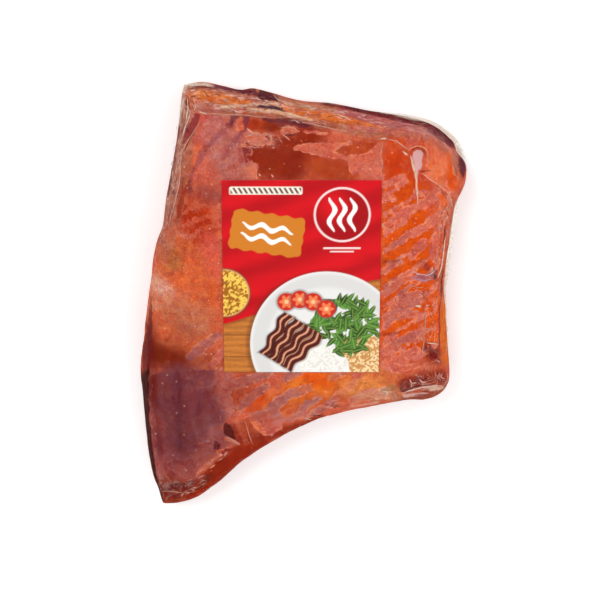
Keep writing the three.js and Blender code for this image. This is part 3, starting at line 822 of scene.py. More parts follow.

# Painted highlights and painted shade along the film's creases, laid on as thin ridges: ink, path, strength
FILM_GLINTS = (
    ("cream_pink", [(388.4, 139.4, 0.5), (397.6, 141.7, 0.6), (403.3, 146.3, 0.7), (409, 149.7, 0.5)],
     0.8),
    ("cream", [(402, 150.5, 0.4), (407.5, 155, 1.3)], 0.8),
    ((250, 152, 112), [(408.6, 150.6, 0.6), (413, 147.2, 0.8), (418, 145.6, 0.8), (424, 147.8, 0.9),
                       (428, 153, 0.6)], 0.85),
    ((186, 62, 26), [(410.6, 154, 0.7), (413.4, 149.6, 0.9), (418, 147.8, 0.9), (422.6, 149, 0.9),
                     (426, 154.6, 0.9), (426.6, 159, 0.5)], 0.85),
    ((240, 184, 156), [(416, 172, 1.4), (416.6, 182, 1.5), (417.2, 192, 1.2), (418, 205, 0.6)], 0.85),
    ((190, 62, 34), [(419.6, 171.6, 0.8), (424, 171.4, 0.8), (431, 170.2, 0.5)], 0.6),
    ((246, 156, 126), [(422.6, 173.2, 0.8), (436, 183.6, 0.9), (446.5, 191.4, 0.9), (452.6, 201, 0.9)],
     0.85),
    ("cream_pink", [(450, 196, 0.8), (452.4, 207, 0.9)], 0.8),
    ("cream_pink", [(196, 109.4, 0.4), (207.4, 113.8, 0.6), (235, 114.6, 0.5), (271.7, 118, 0.4)],
     0.55),
    ("cream_pink", [(300, 121.5, 0.4), (318, 126, 0.5), (345, 131, 0.5)], 0.55),
    ((238, 136, 92), [(382.7, 134.8, 0.6), (401, 132.4, 0.8), (420.5, 133.6, 0.9), (443.5, 142.8, 0.9),
                      (460.7, 154.3, 0.7)], 0.85),
    ("cream_pink", [(200, 121, 0.5), (196, 128, 0.6), (186, 144, 0.7), (181.5, 153, 0.6),
                    (179, 184, 0.6), (173.5, 207, 0.6), (167.8, 230, 0.5)], 0.7),
    ("cream", [(187, 98, 0.6), (188, 108, 0.7), (185, 124, 0.6)], 0.6),
    ("cream", [(445.5, 232, 0.5), (444.8, 242, 0.6), (441.6, 267, 0.8), (437.6, 278, 0.6)], 0.75),
    ("cream", [(416, 306, 1.2), (421, 306.6, 1.3)], 0.85),
    ("cream_pink", [(425, 305.6, 0.9), (430, 305.4, 0.7)], 0.75),
    ((226, 190, 196), [(411, 271.4, 0.4), (419, 274.4, 0.7), (427, 275.4, 0.5)], 0.75),
    ((222, 186, 196), [(424, 276.6, 0.4), (430, 275, 0.8), (434.6, 271, 0.5)], 0.8),
    ((206, 160, 166), [(416, 279, 0.4), (425, 281, 0.6), (433, 279, 0.4)], 0.7),
    ("cream", [(427, 342.6, 0.5), (432, 343.4, 0.8), (439, 344.2, 0.5)], 0.75),
    ("cream_pink", [(425.6, 309, 0.5), (425, 322, 0.6), (424.2, 340, 0.6), (422.4, 356, 0.6)], 0.6),
    ("cream_pink", [(421, 327, 0.4), (428, 329, 0.5), (435, 328, 0.4)], 0.65),
    ("cream_pink", [(410, 285, 0.4), (418, 288, 0.5), (424, 287, 0.4)], 0.5),
    ("cream", [(380.5, 139, 0.9), (387, 138.6, 1.0)], 0.75),
    ("cream", [(382.4, 391.6, 0.6), (385.4, 391.2, 1.0), (388.4, 392.4, 0.9), (386, 395.4, 0.7)], 0.85),
    ((250, 192, 168), [(409.6, 379.4, 0.7), (410.6, 382.6, 0.8), (413, 383.6, 0.7),
                       (416.8, 382.4, 0.6)], 0.85),
    ((240, 170, 148), [(411.8, 383.8, 0.6), (411.4, 387.4, 0.6)], 0.8),
    ((250, 192, 168), [(420, 379.2, 0.7), (421.6, 382, 0.8), (424.6, 382.4, 0.6), (427.8, 381, 0.5)],
     0.85),
    ((236, 164, 140), [(423, 383, 0.6), (422.4, 386.4, 0.6)], 0.8),
    ((130, 44, 46), [(400.4, 387.4, 0.7), (401.6, 391.4, 1.0), (405, 391.6, 1.0), (410, 388.8, 0.9),
                     (418, 387, 1.0), (424, 385.6, 0.8), (433, 384.4, 0.6)], 0.8),
    ((236, 192, 168), [(401, 393.4, 0.6), (408, 390.8, 1.0), (416, 388.8, 1.1), (426, 386.8, 1.1),
                       (436, 385.2, 0.9), (443, 386, 0.6)], 0.85),
    ((160, 84, 80), [(414, 396, 0.6), (420, 395.4, 0.9), (425.4, 394.4, 0.5)], 0.8),
    ((234, 156, 134), [(447.4, 373.6, 0.6), (447.2, 379, 0.8), (445, 384, 0.8), (443.6, 386.6, 0.5)],
     0.8),
    ((226, 156, 140), [(435, 374, 0.5), (438.6, 378, 0.7), (440, 380, 0.5)], 0.7),
    ((226, 156, 140), [(441.6, 373.6, 0.5), (440.4, 377, 0.7), (444.6, 379.4, 0.6)], 0.7),
    ((122, 32, 34), [(449, 371, 0.7), (448.8, 378, 0.9), (447.6, 384, 0.6)], 0.7),
    ((206, 150, 160), [(436, 359.6, 0.9), (440, 362, 0.8)], 0.7),
    ((238, 200, 180), [(258, 90, 0.5), (256.6, 95, 0.8), (254, 98.4, 0.9), (249, 101.6, 0.7)], 0.85),
    ((238, 200, 180), [(255.6, 97, 0.7), (258.6, 99.6, 0.7), (262, 101, 0.5)], 0.8),
    ((226, 160, 150), [(273.6, 95, 0.4), (276.6, 98, 0.7), (279.6, 101.6, 0.6)], 0.75),
    ((206, 130, 140), [(250, 94, 0.4), (254, 93, 0.6)], 0.6),
    ((232, 150, 132), [(281, 131.6, 0.5), (285, 136, 0.9), (288, 138.6, 1.1), (290, 141, 0.5)], 0.8),
    ((216, 136, 116), [(278.6, 136, 0.4), (281, 140, 0.7), (282.4, 143, 0.4)], 0.7),
    ((240, 176, 154), [(246.6, 128, 0.4), (249.6, 130.6, 0.8), (253, 133.4, 0.6)], 0.85),
    ((252, 180, 160), [(258.8, 174, 0.8), (261, 176.4, 0.8)], 0.85),
    ((252, 176, 156), [(271.2, 175, 0.7), (273.4, 177.6, 0.9)], 0.85),
    ((236, 150, 140), [(273, 147, 0.8), (273.4, 149, 0.8)], 0.8),
    ((236, 150, 140), [(300.4, 140.6, 0.7), (301.6, 141.4, 0.7)], 0.75),
    ((226, 178, 168), [(199, 111.6, 0.6), (203, 113, 0.9), (207, 114.6, 0.5)], 0.85),
    ((224, 186, 176), [(190.6, 111.6, 0.5), (187.5, 121.6, 0.7), (183.5, 133, 0.8), (180, 142.4, 0.6)],
     0.85),
    ((214, 166, 140), [(181.6, 148, 0.6), (181, 153, 1.2), (179.6, 158, 0.7)], 0.75),
    ((230, 180, 150), [(194.6, 104, 0.5), (195.6, 107, 0.7), (194, 110, 0.5)], 0.7),
    ((238, 190, 176), [(185, 104.6, 0.4), (188, 109, 0.7), (190, 112, 0.5)], 0.7),
    ((236, 212, 190), [(305, 106.6, 0.6), (308, 105.4, 1.0), (310, 107, 0.5)], 0.8),
    ((236, 206, 190), [(309, 110.4, 0.5), (313, 108.8, 0.9), (317, 108, 0.6)], 0.8),
    ((236, 200, 184), [(337.6, 114.6, 0.5), (344, 117, 0.9), (352, 120.4, 0.6)], 0.8),
    ((60, 20, 32), [(322.6, 102.6, 0.5), (328, 103.4, 0.9), (333, 104.4, 0.5)], 0.85),
    ((60, 20, 32), [(350, 108, 0.5), (355, 109.4, 0.9), (361, 111.4, 0.5)], 0.85),
    ((52, 22, 34), [(268, 105.8, 0.5), (274, 106.6, 0.8), (281, 108.6, 0.6)], 0.8),
    ((250, 130, 80), [(452.2, 162, 0.5), (453, 174, 0.8), (455.4, 175, 0.8), (458.6, 180, 0.6)], 0.8),
    ((104, 28, 34), [(443.6, 268, 0.6), (442.2, 276, 1.0), (441.6, 288, 1.1), (441.4, 297, 0.6)], 0.75),
    ((96, 62, 74), [(433.4, 274.4, 0.6), (436, 276.6, 1.4), (434, 279.4, 0.7)], 0.7),
    ((158, 46, 34), [(445.6, 226, 0.6), (444.4, 236, 1.0), (443.6, 244, 0.6)], 0.7),
    ("cream", [(304.6, 418, 0.3), (311.6, 420, 0.4)], 0.7),
    ("cream", [(308, 417.4, 0.3), (305, 421, 0.3)], 0.6),
    ("cream", [(205, 491, 0.5), (212, 486, 0.6)], 0.5),
    ("cream_pink", [(162, 491, 0.4), (182, 492.4, 0.5)], 0.5),
    ("cream_pink", [(453, 165, 0.4), (455, 175, 0.6), (459, 180, 0.5)], 0.6),
    ("cream_pink", [(446, 342, 0.6), (446.4, 349, 1.0), (444.6, 357, 0.5)], 0.65),
    ("cream_pink", [(349.6, 139, 0.6), (351, 144, 0.7)], 0.5),
    ("wet_red", [(442, 262, 0.6), (442, 296, 0.8), (439.5, 306, 0.6), (439.5, 355, 0.6)], 0.6),
    ("maroon", [(313, 415, 0.4), (324, 416.5, 0.5)], 0.6),
    ("wet_red", [(197, 126, 0.4), (187, 144, 0.6), (184, 152, 0.4)], 0.6),
    ((224, 132, 104), [(244.6, 420.7, 0.4), (249, 434, 0.7), (252.8, 444.8, 0.5)], 0.8),
    ((238, 200, 164), [(410.6, 155.6, 0.8), (412.6, 162, 1.3), (414, 170, 1.2), (415.4, 178, 0.8)],
     0.9),
    ((236, 168, 142), [(380.6, 141, 0.6), (382.4, 147, 0.9), (380.8, 155, 0.8), (382.8, 163, 0.8),
                       (381.2, 171, 0.8), (383, 177, 0.5)], 0.25),
    ((232, 160, 138), [(264, 133.6, 0.5), (269, 134, 0.9), (272, 138, 0.9), (272.4, 147, 0.6)], 0.4),
    ((228, 156, 134), [(244, 135.4, 0.5), (252, 134.4, 0.8), (262, 134, 0.6)], 0.45),
    ((228, 150, 130), [(246, 148, 0.4), (250, 146.4, 0.8), (256, 148, 0.6), (262, 146.6, 0.5)], 0.45),
    ((112, 36, 34), [(284, 134.8, 0.5), (290, 135.6, 0.9), (297, 133.8, 0.5)], 0.85),
    ((224, 142, 118), [(281, 127.6, 0.5), (288, 126.4, 0.8), (296, 129, 0.7), (297, 132, 0.4)], 0.85),
    ((240, 158, 136), [(223.6, 456.4, 0.5), (226, 453, 0.9), (227.4, 451.6, 0.5)], 0.85),
    ((236, 150, 104), [(209, 468.6, 0.5), (213, 466, 0.9), (215, 464.6, 0.5)], 0.85),
    ((226, 140, 110), [(216.6, 461.4, 0.5), (220.6, 459, 0.9), (223, 457.6, 0.5)], 0.8),
    ((226, 140, 122), [(198.6, 477, 0.5), (202, 476, 0.9), (205, 475.4, 0.5)], 0.8),
    ((228, 156, 136), [(228, 436.6, 0.5), (236, 442, 0.9), (241, 445, 0.5)], 0.8),
)

# Milky film: the welded margin and the places where it stands off
FILM_MILK = (
    ((238, 228, 208), [(456, 142, 1.2), (460, 148, 2.2), (464, 156, 1.2)], 1.6, 0.9),
    ((255, 248, 236), [(456.6, 192, 0.4), (456.4, 200, 1.4), (455.5, 212, 2.6), (453, 235, 3.4),
                       (450.5, 252, 3.2), (448.5, 270, 2.6), (447, 292, 1.4), (447.6, 330, 0.8)],
                       1.6, 0.95),
    ((214, 192, 178), [(184, 92, 0.8), (186, 84.4, 1.4), (205, 84.4, 1.4), (213, 86, 0.6)], 1.6, 0.7),
    ((206, 178, 162), [(183, 100, 1.0), (181, 112, 1.0), (179, 126, 0.6)], 1.6, 0.55),
    ((240, 220, 206), [(380, 112.6, 0.3), (405, 117.4, 0.6), (424, 121, 0.6), (438, 126, 0.4)],
     1.2, 0.55),
    ((236, 210, 190), [(378, 402, 0.6), (366, 404, 0.8), (350, 407, 0.4)], 2.4, 0.35),
)


class PackSizes(bpy.types.PropertyGroup):
    """Sizes of the slab and its film"""

    slab_depth: FloatProperty(
        name="Slab Depth", description="How far the slab lies under the film",
        default=0.0004, min=0.0, unit="LENGTH")
    crinkle: FloatProperty(
        name="Crinkle", description="Height of the film's small creases",
        default=0.00028, min=0.0, unit="LENGTH")


class LabelSizes(bpy.types.PropertyGroup):
    """Size and colours of the front label"""

    width: FloatProperty(
        name="Width", description="Width of the label", default=LABEL_SIZE[0] * MM, unit="LENGTH")
    height: FloatProperty(
        name="Height", description="Height of the label", default=LABEL_SIZE[1] * MM, unit="LENGTH")
    thickness: FloatProperty(
        name="Thickness", description="Thickness of the label", default=0.0003, unit="LENGTH")
    field: FloatVectorProperty(
        name="Field", description="Colour of the label's upper field", subtype="COLOR",
        size=3, min=0, max=1, default=(0.54, 0.004, 0.009))
    badge: FloatVectorProperty(
        name="Badge", description="Colour of the wavy badge", subtype="COLOR",
        size=3, min=0, max=1, default=(0.60, 0.19, 0.018))


class StageSizes(bpy.types.PropertyGroup):
    """Floor, light and camera"""

    floor_size: FloatProperty(
        name="Floor Size", description="Width of the floor", default=4.0, unit="LENGTH")
    floor_tone: FloatVectorProperty(
        name="Floor Tone", description="Colour of the floor", subtype="COLOR",
        size=3, min=0, max=1, default=(0.93, 0.93, 0.93))
    lens: FloatProperty(
        name="Lens", description="Focal length of the camera in millimetres", default=LENS)
    tilt: FloatProperty(
        name="Tilt", description="How far the camera leans from straight down",
        default=VIEW_TILT, subtype="ANGLE")


def make_mesh(name, vertices, quads, extra=()):
    """A mesh object at the origin from millimetre vertices, four-sided faces and any other
    faces, shaded smooth."""
    mesh = bpy.data.meshes.new(name)
    vertices = np.asarray(vertices, float) * MM
    extra = [np.asarray(f, np.int32) for f in extra]
    corners = np.concatenate([quads.ravel()] + [f.ravel() for f in extra]).astype(np.int32)
    counts = [np.full(len(quads), 4)]
    counts += [np.array([len(f)]) if f.ndim == 1 else np.full(len(f), f.shape[1]) for f in extra]
    counts = np.concatenate(counts)
    starts = np.concatenate([[0], np.cumsum(counts)[:-1]]).astype(np.int32)
    mesh.vertices.add(len(vertices))
    mesh.vertices.foreach_set("co", vertices.ravel())
    mesh.loops.add(len(corners))
    mesh.loops.foreach_set("vertex_index", corners)
    mesh.polygons.add(len(counts))
    mesh.polygons.foreach_set("loop_start", starts)
    mesh.update(calc_edges=True)
    mesh.validate()
    mesh.polygons.foreach_set("use_smooth", np.ones(len(mesh.polygons), bool))
    piece = bpy.data.objects.new(name, mesh)
    bpy.context.scene.collection.objects.link(piece)
    return piece


def close_grid(name, grid, below, above):
    """Closes a grid that runs round its columns with one point at the hub below and one
    above, at the heights given."""
    rows, count = grid.shape[:2]
    c = np.arange(count)
    d = (c + 1) % count
    low = (np.arange(rows - 1) * count)[:, None]
    quads = np.stack([low + c, low + count + c, low + count + d, low + d], -1).reshape(-1, 4)
    x, y = HUB + CENTRE_SHIFT
    vertices = np.vstack([grid.reshape(-1, 3), [(x, y, below), (x, y, above)]])
    foot, top = rows * count, rows * count + 1
    last = (rows - 1) * count
    under = np.column_stack([np.full(count, foot), c, d])
    over = np.column_stack([np.full(count, top), last + d, last + c])
    return make_mesh(name, vertices, quads, (under, over))


def add_values(piece, name, values, *rest):
    """Stores one number for each vertex: those of the grid, then the rest."""
    layer = piece.data.attributes.new(name, "FLOAT", "POINT")
    layer.data.foreach_set("value", np.concatenate([np.ravel(values), *rest]).astype(np.float32))


def add_places(piece, name, places, *rest):
    """Stores one place for each vertex: those of the grid, then the rest."""
    layer = piece.data.attributes.new(name, "FLOAT_VECTOR", "POINT")
    full = np.vstack([places.reshape(-1, 3), *rest])
    layer.data.foreach_set("vector", full.astype(np.float32).ravel())


def add_colours(piece, name, colours, *rest):
    """Stores one linear colour for each vertex: those of the grid, then the rest."""
    layer = piece.data.attributes.new(name, "FLOAT_COLOR", "POINT")
    every = np.vstack([colours.reshape(-1, 3), *rest])
    full = np.column_stack([every, np.ones(len(every))])
    layer.data.foreach_set("color", full.astype(np.float32).ravel())



class Nodes:
    """Small helper that adds and links the nodes of one material."""

    def __init__(self, name):
        self.material = bpy.data.materials.new(name)
        self.material.use_nodes = True
        self.tree = self.material.node_tree
        self.tree.nodes.clear()

    def add(self, kind, settings=None, inputs=None):
        node = self.tree.nodes.new(kind)
        for key, value in (settings or {}).items():
            setattr(node, key, value)
        for key, value in (inputs or {}).items():
            socket = node.inputs[key]
            if isinstance(value, bpy.types.NodeSocket):
                self.tree.links.new(value, socket)
            else:
                socket.default_value = value
        return node

    def math(self, operation, a, b=0.0, c=0.0, clamp=False):
        settings = {"operation": operation, "use_clamp": clamp}
        return self.add("ShaderNodeMath", settings, {0: a, 1: b, 2: c}).outputs[0]

    def attribute(self, name, output):
        return self.add("ShaderNodeAttribute", {"attribute_name": name}).outputs[output]

    def place(self):
        return self.add("ShaderNodeTexCoord").outputs["Object"]

    def combine(self, x, y, z):
        return self.add("ShaderNodeCombineXYZ", None, {0: x, 1: y, 2: z}).outputs[0]

    def separate(self, colour):
        return self.add("ShaderNodeSeparateColor", None, {0: colour}).outputs

    def off_middle(self, value):
        return self.math("ABSOLUTE", self.math("SUBTRACT", value, 0.5))

    def cells(self, vector, scale):
        inputs = {"Vector": vector, "Scale": scale, "Randomness": 1.0}
        return self.add("ShaderNodeTexVoronoi", {"feature": "F1"}, inputs).outputs

    def noise(self, vector, scale, detail=2.0, rough=0.5, distortion=0.0):
        inputs = {
            "Vector": vector, "Scale": scale, "Detail": detail, "Roughness": rough,
            "Distortion": distortion}
        return self.add("ShaderNodeTexNoise", None, inputs).outputs["Fac"]

    def stretched(self, vector, scale):
        return self.add("ShaderNodeMapping", None, {"Vector": vector, "Scale": scale}).outputs[0]

    def spread(self, value, low, high, out_low=0.0, out_high=1.0, kind="LINEAR"):
        settings = {"interpolation_type": kind}
        inputs = {
            "Value": value, "From Min": low, "From Max": high, "To Min": out_low,
            "To Max": out_high}
        return self.add("ShaderNodeMapRange", settings, inputs).outputs["Result"]

    def mix(self, share, a, b, kind="MIX"):
        settings = {"data_type": "RGBA", "blend_type": kind}
        node = self.add("ShaderNodeMix", settings, {0: share, 6: a, 7: b})
        return node.outputs[2]

    def bump(self, height, strength, distance, normal=None):
        inputs = {"Height": height, "Strength": strength, "Distance": distance}
        if normal is not None:
            inputs["Normal"] = normal
        return self.add("ShaderNodeBump", None, inputs).outputs[0]

    def finish(self, shader):
        output = self.add("ShaderNodeOutputMaterial")
        self.tree.links.new(shader, output.inputs["Surface"])
        return self.material


def pale_inside(q, crisp_q, shake, fine):
    """How far inside the pale zone each place is, in pixels: the most of the drawn shapes of
    painted sheen, the drawn bands of fat, and fine bands that a shaken sine wave throws over a zone."""
    inside = np.full(q.shape[:-1], FAR_OUTSIDE)
    for corners in PAINTED_SHEEN_SHAPES:
        inside = np.maximum(inside, shape_inside(crisp_q, corners))
    for path in PALE_BANDS:
        inside = np.maximum(inside, path_inside(crisp_q + 0.8 * fine, path))
    for corners, slope, spacing in BAND_ZONES:
        turn = math.radians(slope)
        across = q[..., 0] * math.sin(turn) + q[..., 1] * math.cos(turn) + 5.0 * shake[..., 0]
        wave = np.sin(2 * np.pi * across / spacing) + 0.9 * shake[..., 1] - 0.55
        zone = shape_inside(q, corners)
        inside = np.maximum(inside, np.where(zone > 0, 2.4 * wave, FAR_OUTSIDE))
    return inside


def paint_slab(grid):
    """Colours of the slab where the picture shows it: the wet dabs, the dabs of painted sheen and
    fat, and the end dabs at the places of the picture, shaken a little by noise. Returns the wet
    colour, the colour of painted sheen and fat, how far inside the pale zone each place is, the
    colour of the cut end, and the picture places as they are, shaken for crisp edges and shaken
    more for soft ones."""
    q = picture_place(grid)
    shake = np.stack([layered_noise(grid, 9.0, 11), layered_noise(grid, 9.0, 21)], -1)
    fine = np.stack([lattice_noise(grid, 2.6, 31), lattice_noise(grid, 2.6, 32)], -1)
    soft_q = q + 3.0 * shake + 1.0 * fine
    crisp_q = q + 0.8 * shake + 0.5 * fine

    wet = np.zeros(grid.shape) + linear(INK["salmon"])
    for ink, path, soft, strength in WET_DABS:
        dab(wet, soft_q, ink, path, soft, strength)
    # the pale zone's colour: the film's sheen painted in, and the bands of fat
    sheen_and_fat = np.zeros(grid.shape) + linear(INK["salmon_pink"])
    for ink, path, soft, strength in SHEEN_AND_FAT_DABS:
        dab(sheen_and_fat, soft_q if soft > 8 else crisp_q, ink, path, soft, strength)
    end = np.zeros(grid.shape) + linear((178, 104, 84))
    streak = lattice_noise(grid * np.array([0.25, 1.0, 1.6]), 1.6, 41)
    end *= (1.0 + 0.22 * streak)[..., None]
    for ink, path, soft, strength in END_DABS:
        dab(end, crisp_q, ink, path, soft, strength)
    return wet, sheen_and_fat, pale_inside(q, crisp_q, shake, fine), end, q, crisp_q, soft_q


def side_layers(grid):
    """Colour of the sides and back that the picture doesn't show: even layers of meat and fat
    as a sine of the shaken height, with a smoked rind underneath."""
    layer_place = grid * np.array([0.25, 0.25, 1.0])
    depth = grid[..., 2] + 2.4 * layered_noise(grid, 26.0, 51)
    depth = depth + 0.8 * lattice_noise(layer_place, 3.0, 52)
    band = smooth((np.sin(depth * 2 * np.pi / LAYER_HEIGHT + 0.8) + 0.1) / 0.5)[..., None]
    meat, fat = linear(INK["wet_brown"]), linear(INK["salmon_pink"])
    side = meat + band * (fat - meat)
    rind = linear(INK["rind"]) * (1.0 + 0.3 * layered_noise(grid, 12.0, 61))[..., None]
    low = smooth((5.0 - grid[..., 2]) / 4.0)[..., None]
    return side + low * (rind - side)


def crisp_marks(q, crisp_q):
    """The crisp marks: how far inside the nearest of them each place is, in pixels, with that
    mark's ink and strength."""
    inside = np.full(q.shape[:-1], FAR_OUTSIDE)
    inks = np.zeros(q.shape[:-1] + (3,))
    strengths = np.zeros(q.shape[:-1])
    for ink, corners, strength in CRISP_MARKS:
        inner = shape_inside(crisp_q + 0.5 * (crisp_q - q), corners)
        nearer = inner > inside
        inside = np.where(nearer, inner, inside)
        inks[nearer] = ink_light(ink)
        strengths = np.where(nearer, strength, strengths)
    return inside, inks, strengths


def crushed_share(soft_q, seen, lev):
    """How crushed the film is, from 0 to 1: along the crushed paths where the picture shows
    the surface, and lightly above the foot where it doesn't."""
    crush = np.zeros(soft_q.shape[:-1])
    for path, soft, strength in CRUSHED:
        crush = np.maximum(crush, strength * smooth(path_inside(soft_q, path) / soft + 0.5))
    return crush * seen + (1 - seen) * 0.35 * smooth((lev - 0.6) / 0.3)



class PACK_OT_slab(bpy.types.Operator):
    """Makes the marbled slab of smoked belly that lies in the film"""

    bl_idname = "pack.slab"
    bl_label = "Slab"

    def execute(self, context):
        depth = context.scene.pack_sizes.slab_depth / MM
        grid, level, columns, strata = pack_surface(AROUND, *SLAB_ROWS, False)
        normal = grid_normals(grid)
        wet, sheen_and_fat, inside, end, q, crisp_q, soft_q = paint_slab(grid)
        lev = row_levels(level, grid)
        seen = smooth((normal @ VIEW_BACK + 0.3) / 0.2)

        # the wall between waist and edge takes the layered end colours on the upper side and
        # on the upper part of the left side
        facing, leftness = columns[None, :, 6], -columns[None, :, 5]
        high = smooth((grid[..., 1] - 42.0) / 22.0)
        turned = np.maximum(smooth((facing - 0.15) / 0.25), smooth((leftness - 0.5) / 0.3) * high)
        upper_end = smooth((2.06 - lev) / 0.06) * turned
        wet = wet + upper_end[..., None] * (end - wet)
        sheen_and_fat = sheen_and_fat + upper_end[..., None] * (end - sheen_and_fat)
        for ink, path, soft, strength in DARK_MARKS:
            dab(wet, crisp_q, ink, path, soft, strength)
            dab(sheen_and_fat, crisp_q, ink, path, soft, strength)
        side, hidden = side_layers(grid), (1 - seen)[..., None]
        wet = wet + hidden * (side - wet)
        sheen_and_fat = sheen_and_fat + hidden * (side - sheen_and_fat)
        mark, mark_ink, mark_strength = crisp_marks(q, crisp_q)
        mark = np.where(seen > 0.3, mark - 9.0 * smooth((0.95 - lev) / 0.4), FAR_OUTSIDE)

        relief = drawn_relief(grid, level, strata) - depth
        body = grid + normal * relief[..., None]
        body[..., 2] = np.maximum(body[..., 2], SLAB_FOOT)
        slab = close_grid("slab", body, SLAB_FOOT, FACE_HEIGHT - depth)
        rind = linear(INK["rind"])
        add_colours(slab, "wet", wet, rind, rind)
        # colour of the pale zone: painted sheen of the film, and fat
        add_colours(slab, "sheen_and_fat", sheen_and_fat, rind, rind)
        add_values(slab, "pale", np.where(upper_end > 0.5, FAR_OUTSIDE, inside), [0.0, 0.0])
        add_values(slab, "mark", mark, [FAR_OUTSIDE, FAR_OUTSIDE])
        add_values(slab, "mark_strength", mark_strength, [0.0, 0.0])
        add_colours(slab, "mark_ink", mark_ink, rind, rind)
        add_values(slab, "crush", crushed_share(soft_q, seen, lev), [0.0, 0.0])
        add_places(slab, "strata", strata, strata[0, :2])
        slab.data.materials.append(meat_material())
        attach(slab, "root")
        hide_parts("bag")
        return {"FINISHED"}


def meat_grain(n, place, colour):
    """Varies a colour by grain, clouds, and flat facets of three sizes."""
    grain = n.spread(n.noise(place, 950.0, 4.0, 0.7), 0.3, 0.7, 0.72, 1.26)
    cloud = n.spread(n.noise(place, 190.0, 4.0, 0.6), 0.3, 0.7, 0.80, 1.18)
    tone = n.combine(grain, n.math("MULTIPLY", grain, cloud), cloud)
    colour = n.mix(0.85, colour, tone, "MULTIPLY")
    colour = n.mix(1.0, colour, (0.86, 0.77, 0.68, 1.0), "MULTIPLY")
    swirl = n.add("ShaderNodeTexNoise", None, {"Vector": place, "Scale": 260.0, "Detail": 3.0})
    warp = n.add("ShaderNodeVectorMath", {"operation": "MULTIPLY_ADD"}, {
        0: swirl.outputs["Color"], 1: (0.006, 0.006, 0.006), 2: place}).outputs[0]
    facet = 0.0
    for scale, reach in ((300.0, 0.12), (130.0, 0.10), (700.0, 0.12)):
        shade = n.separate(n.cells(warp, scale)["Color"])[0]
        facet = n.math("ADD", facet, n.spread(shade, 0.0, 1.0, -reach, reach))
    tooth = n.spread(n.noise(place, 1100.0, 2.0, 0.6), 0.3, 0.7, -0.12, 0.12)
    facet = n.math("ADD", facet, tooth)
    reds = n.math("ADD", n.math("MULTIPLY", facet, 0.6), 1.0)
    rest = n.math("ADD", n.math("MULTIPLY", facet, 1.4), 1.0)
    return n.mix(1.0, colour, n.combine(reds, rest, rest), "MULTIPLY")


def meat_specks(n, place, colour):
    """Dark specks of smoke, and pale specks painted as glints, in a few cells of a pattern."""
    cells = n.cells(place, 330.0)
    dot = n.spread(cells["Distance"], 0.10, 0.2, 1.0, 0.0)
    pick = n.separate(cells["Color"])
    dark_dot = n.math("MULTIPLY", dot, n.spread(pick[0], 0.82, 0.86))
    # pale specks: painted glints
    glint_dot = n.math("MULTIPLY", dot, n.spread(pick[1], 0.88, 0.92))
    colour = n.mix(n.math("MULTIPLY", dark_dot, 0.6), colour, (0.10, 0.02, 0.02, 1.0))
    return n.mix(n.math("MULTIPLY", glint_dot, 0.55), colour, (0.80, 0.45, 0.32, 1.0))


def meat_wrinkles(n, place, colour, stain):
    """Thin wrinkles that run along the outline where the film is crushed: a painted glint on the
    bright lines and painted shade on the dark ones. Returns the colour and the wrinkles' height."""
    strata = n.attribute("strata", "Vector")
    crush = n.attribute("crush", "Fac")
    bend = n.noise(n.stretched(strata, (0.05, 0.05, 0.10)), 1.0, 2.0, 0.5)
    shifted = n.add("ShaderNodeVectorMath", {"operation": "ADD"}, {
        0: n.stretched(strata, (0.045, 0.045, 0.30)),
        1: n.combine(0.0, 0.0, n.math("MULTIPLY", bend, 3.0))}).outputs[0]
    first = n.noise(shifted, 1.6, 4.0, 0.62)
    second = n.noise(shifted, 2.9, 4.0, 0.65)
    # painted shade in the dark lines of the crushed film's wrinkles
    shade_line = n.math("MULTIPLY", n.spread(second, 0.53, 0.60), n.math("MULTIPLY", crush, 0.62))
    line = n.spread(n.off_middle(first), 0.012, 0.045, 1.0, 0.0)
    patchy = n.spread(n.noise(place, 150.0, 3.0, 0.6), 0.42, 0.6)
    unstained = n.math("SUBTRACT", 1.0, n.math("MULTIPLY", stain, 0.75))
    # painted glints along the bright lines of the wrinkles
    glint_line = n.math("MULTIPLY", line, n.math("MULTIPLY", crush, patchy))
    glint_line = n.math("MULTIPLY", glint_line, unstained)
    colour = n.mix(shade_line, colour, (0.085, 0.022, 0.030, 1.0))
    colour = n.mix(n.math("MULTIPLY", glint_line, 0.75), colour, (0.78, 0.52, 0.42, 1.0))
    parted = n.math("MULTIPLY", n.math("SUBTRACT", first, second), crush)
    return colour, n.math("MULTIPLY", parted, 1.5)


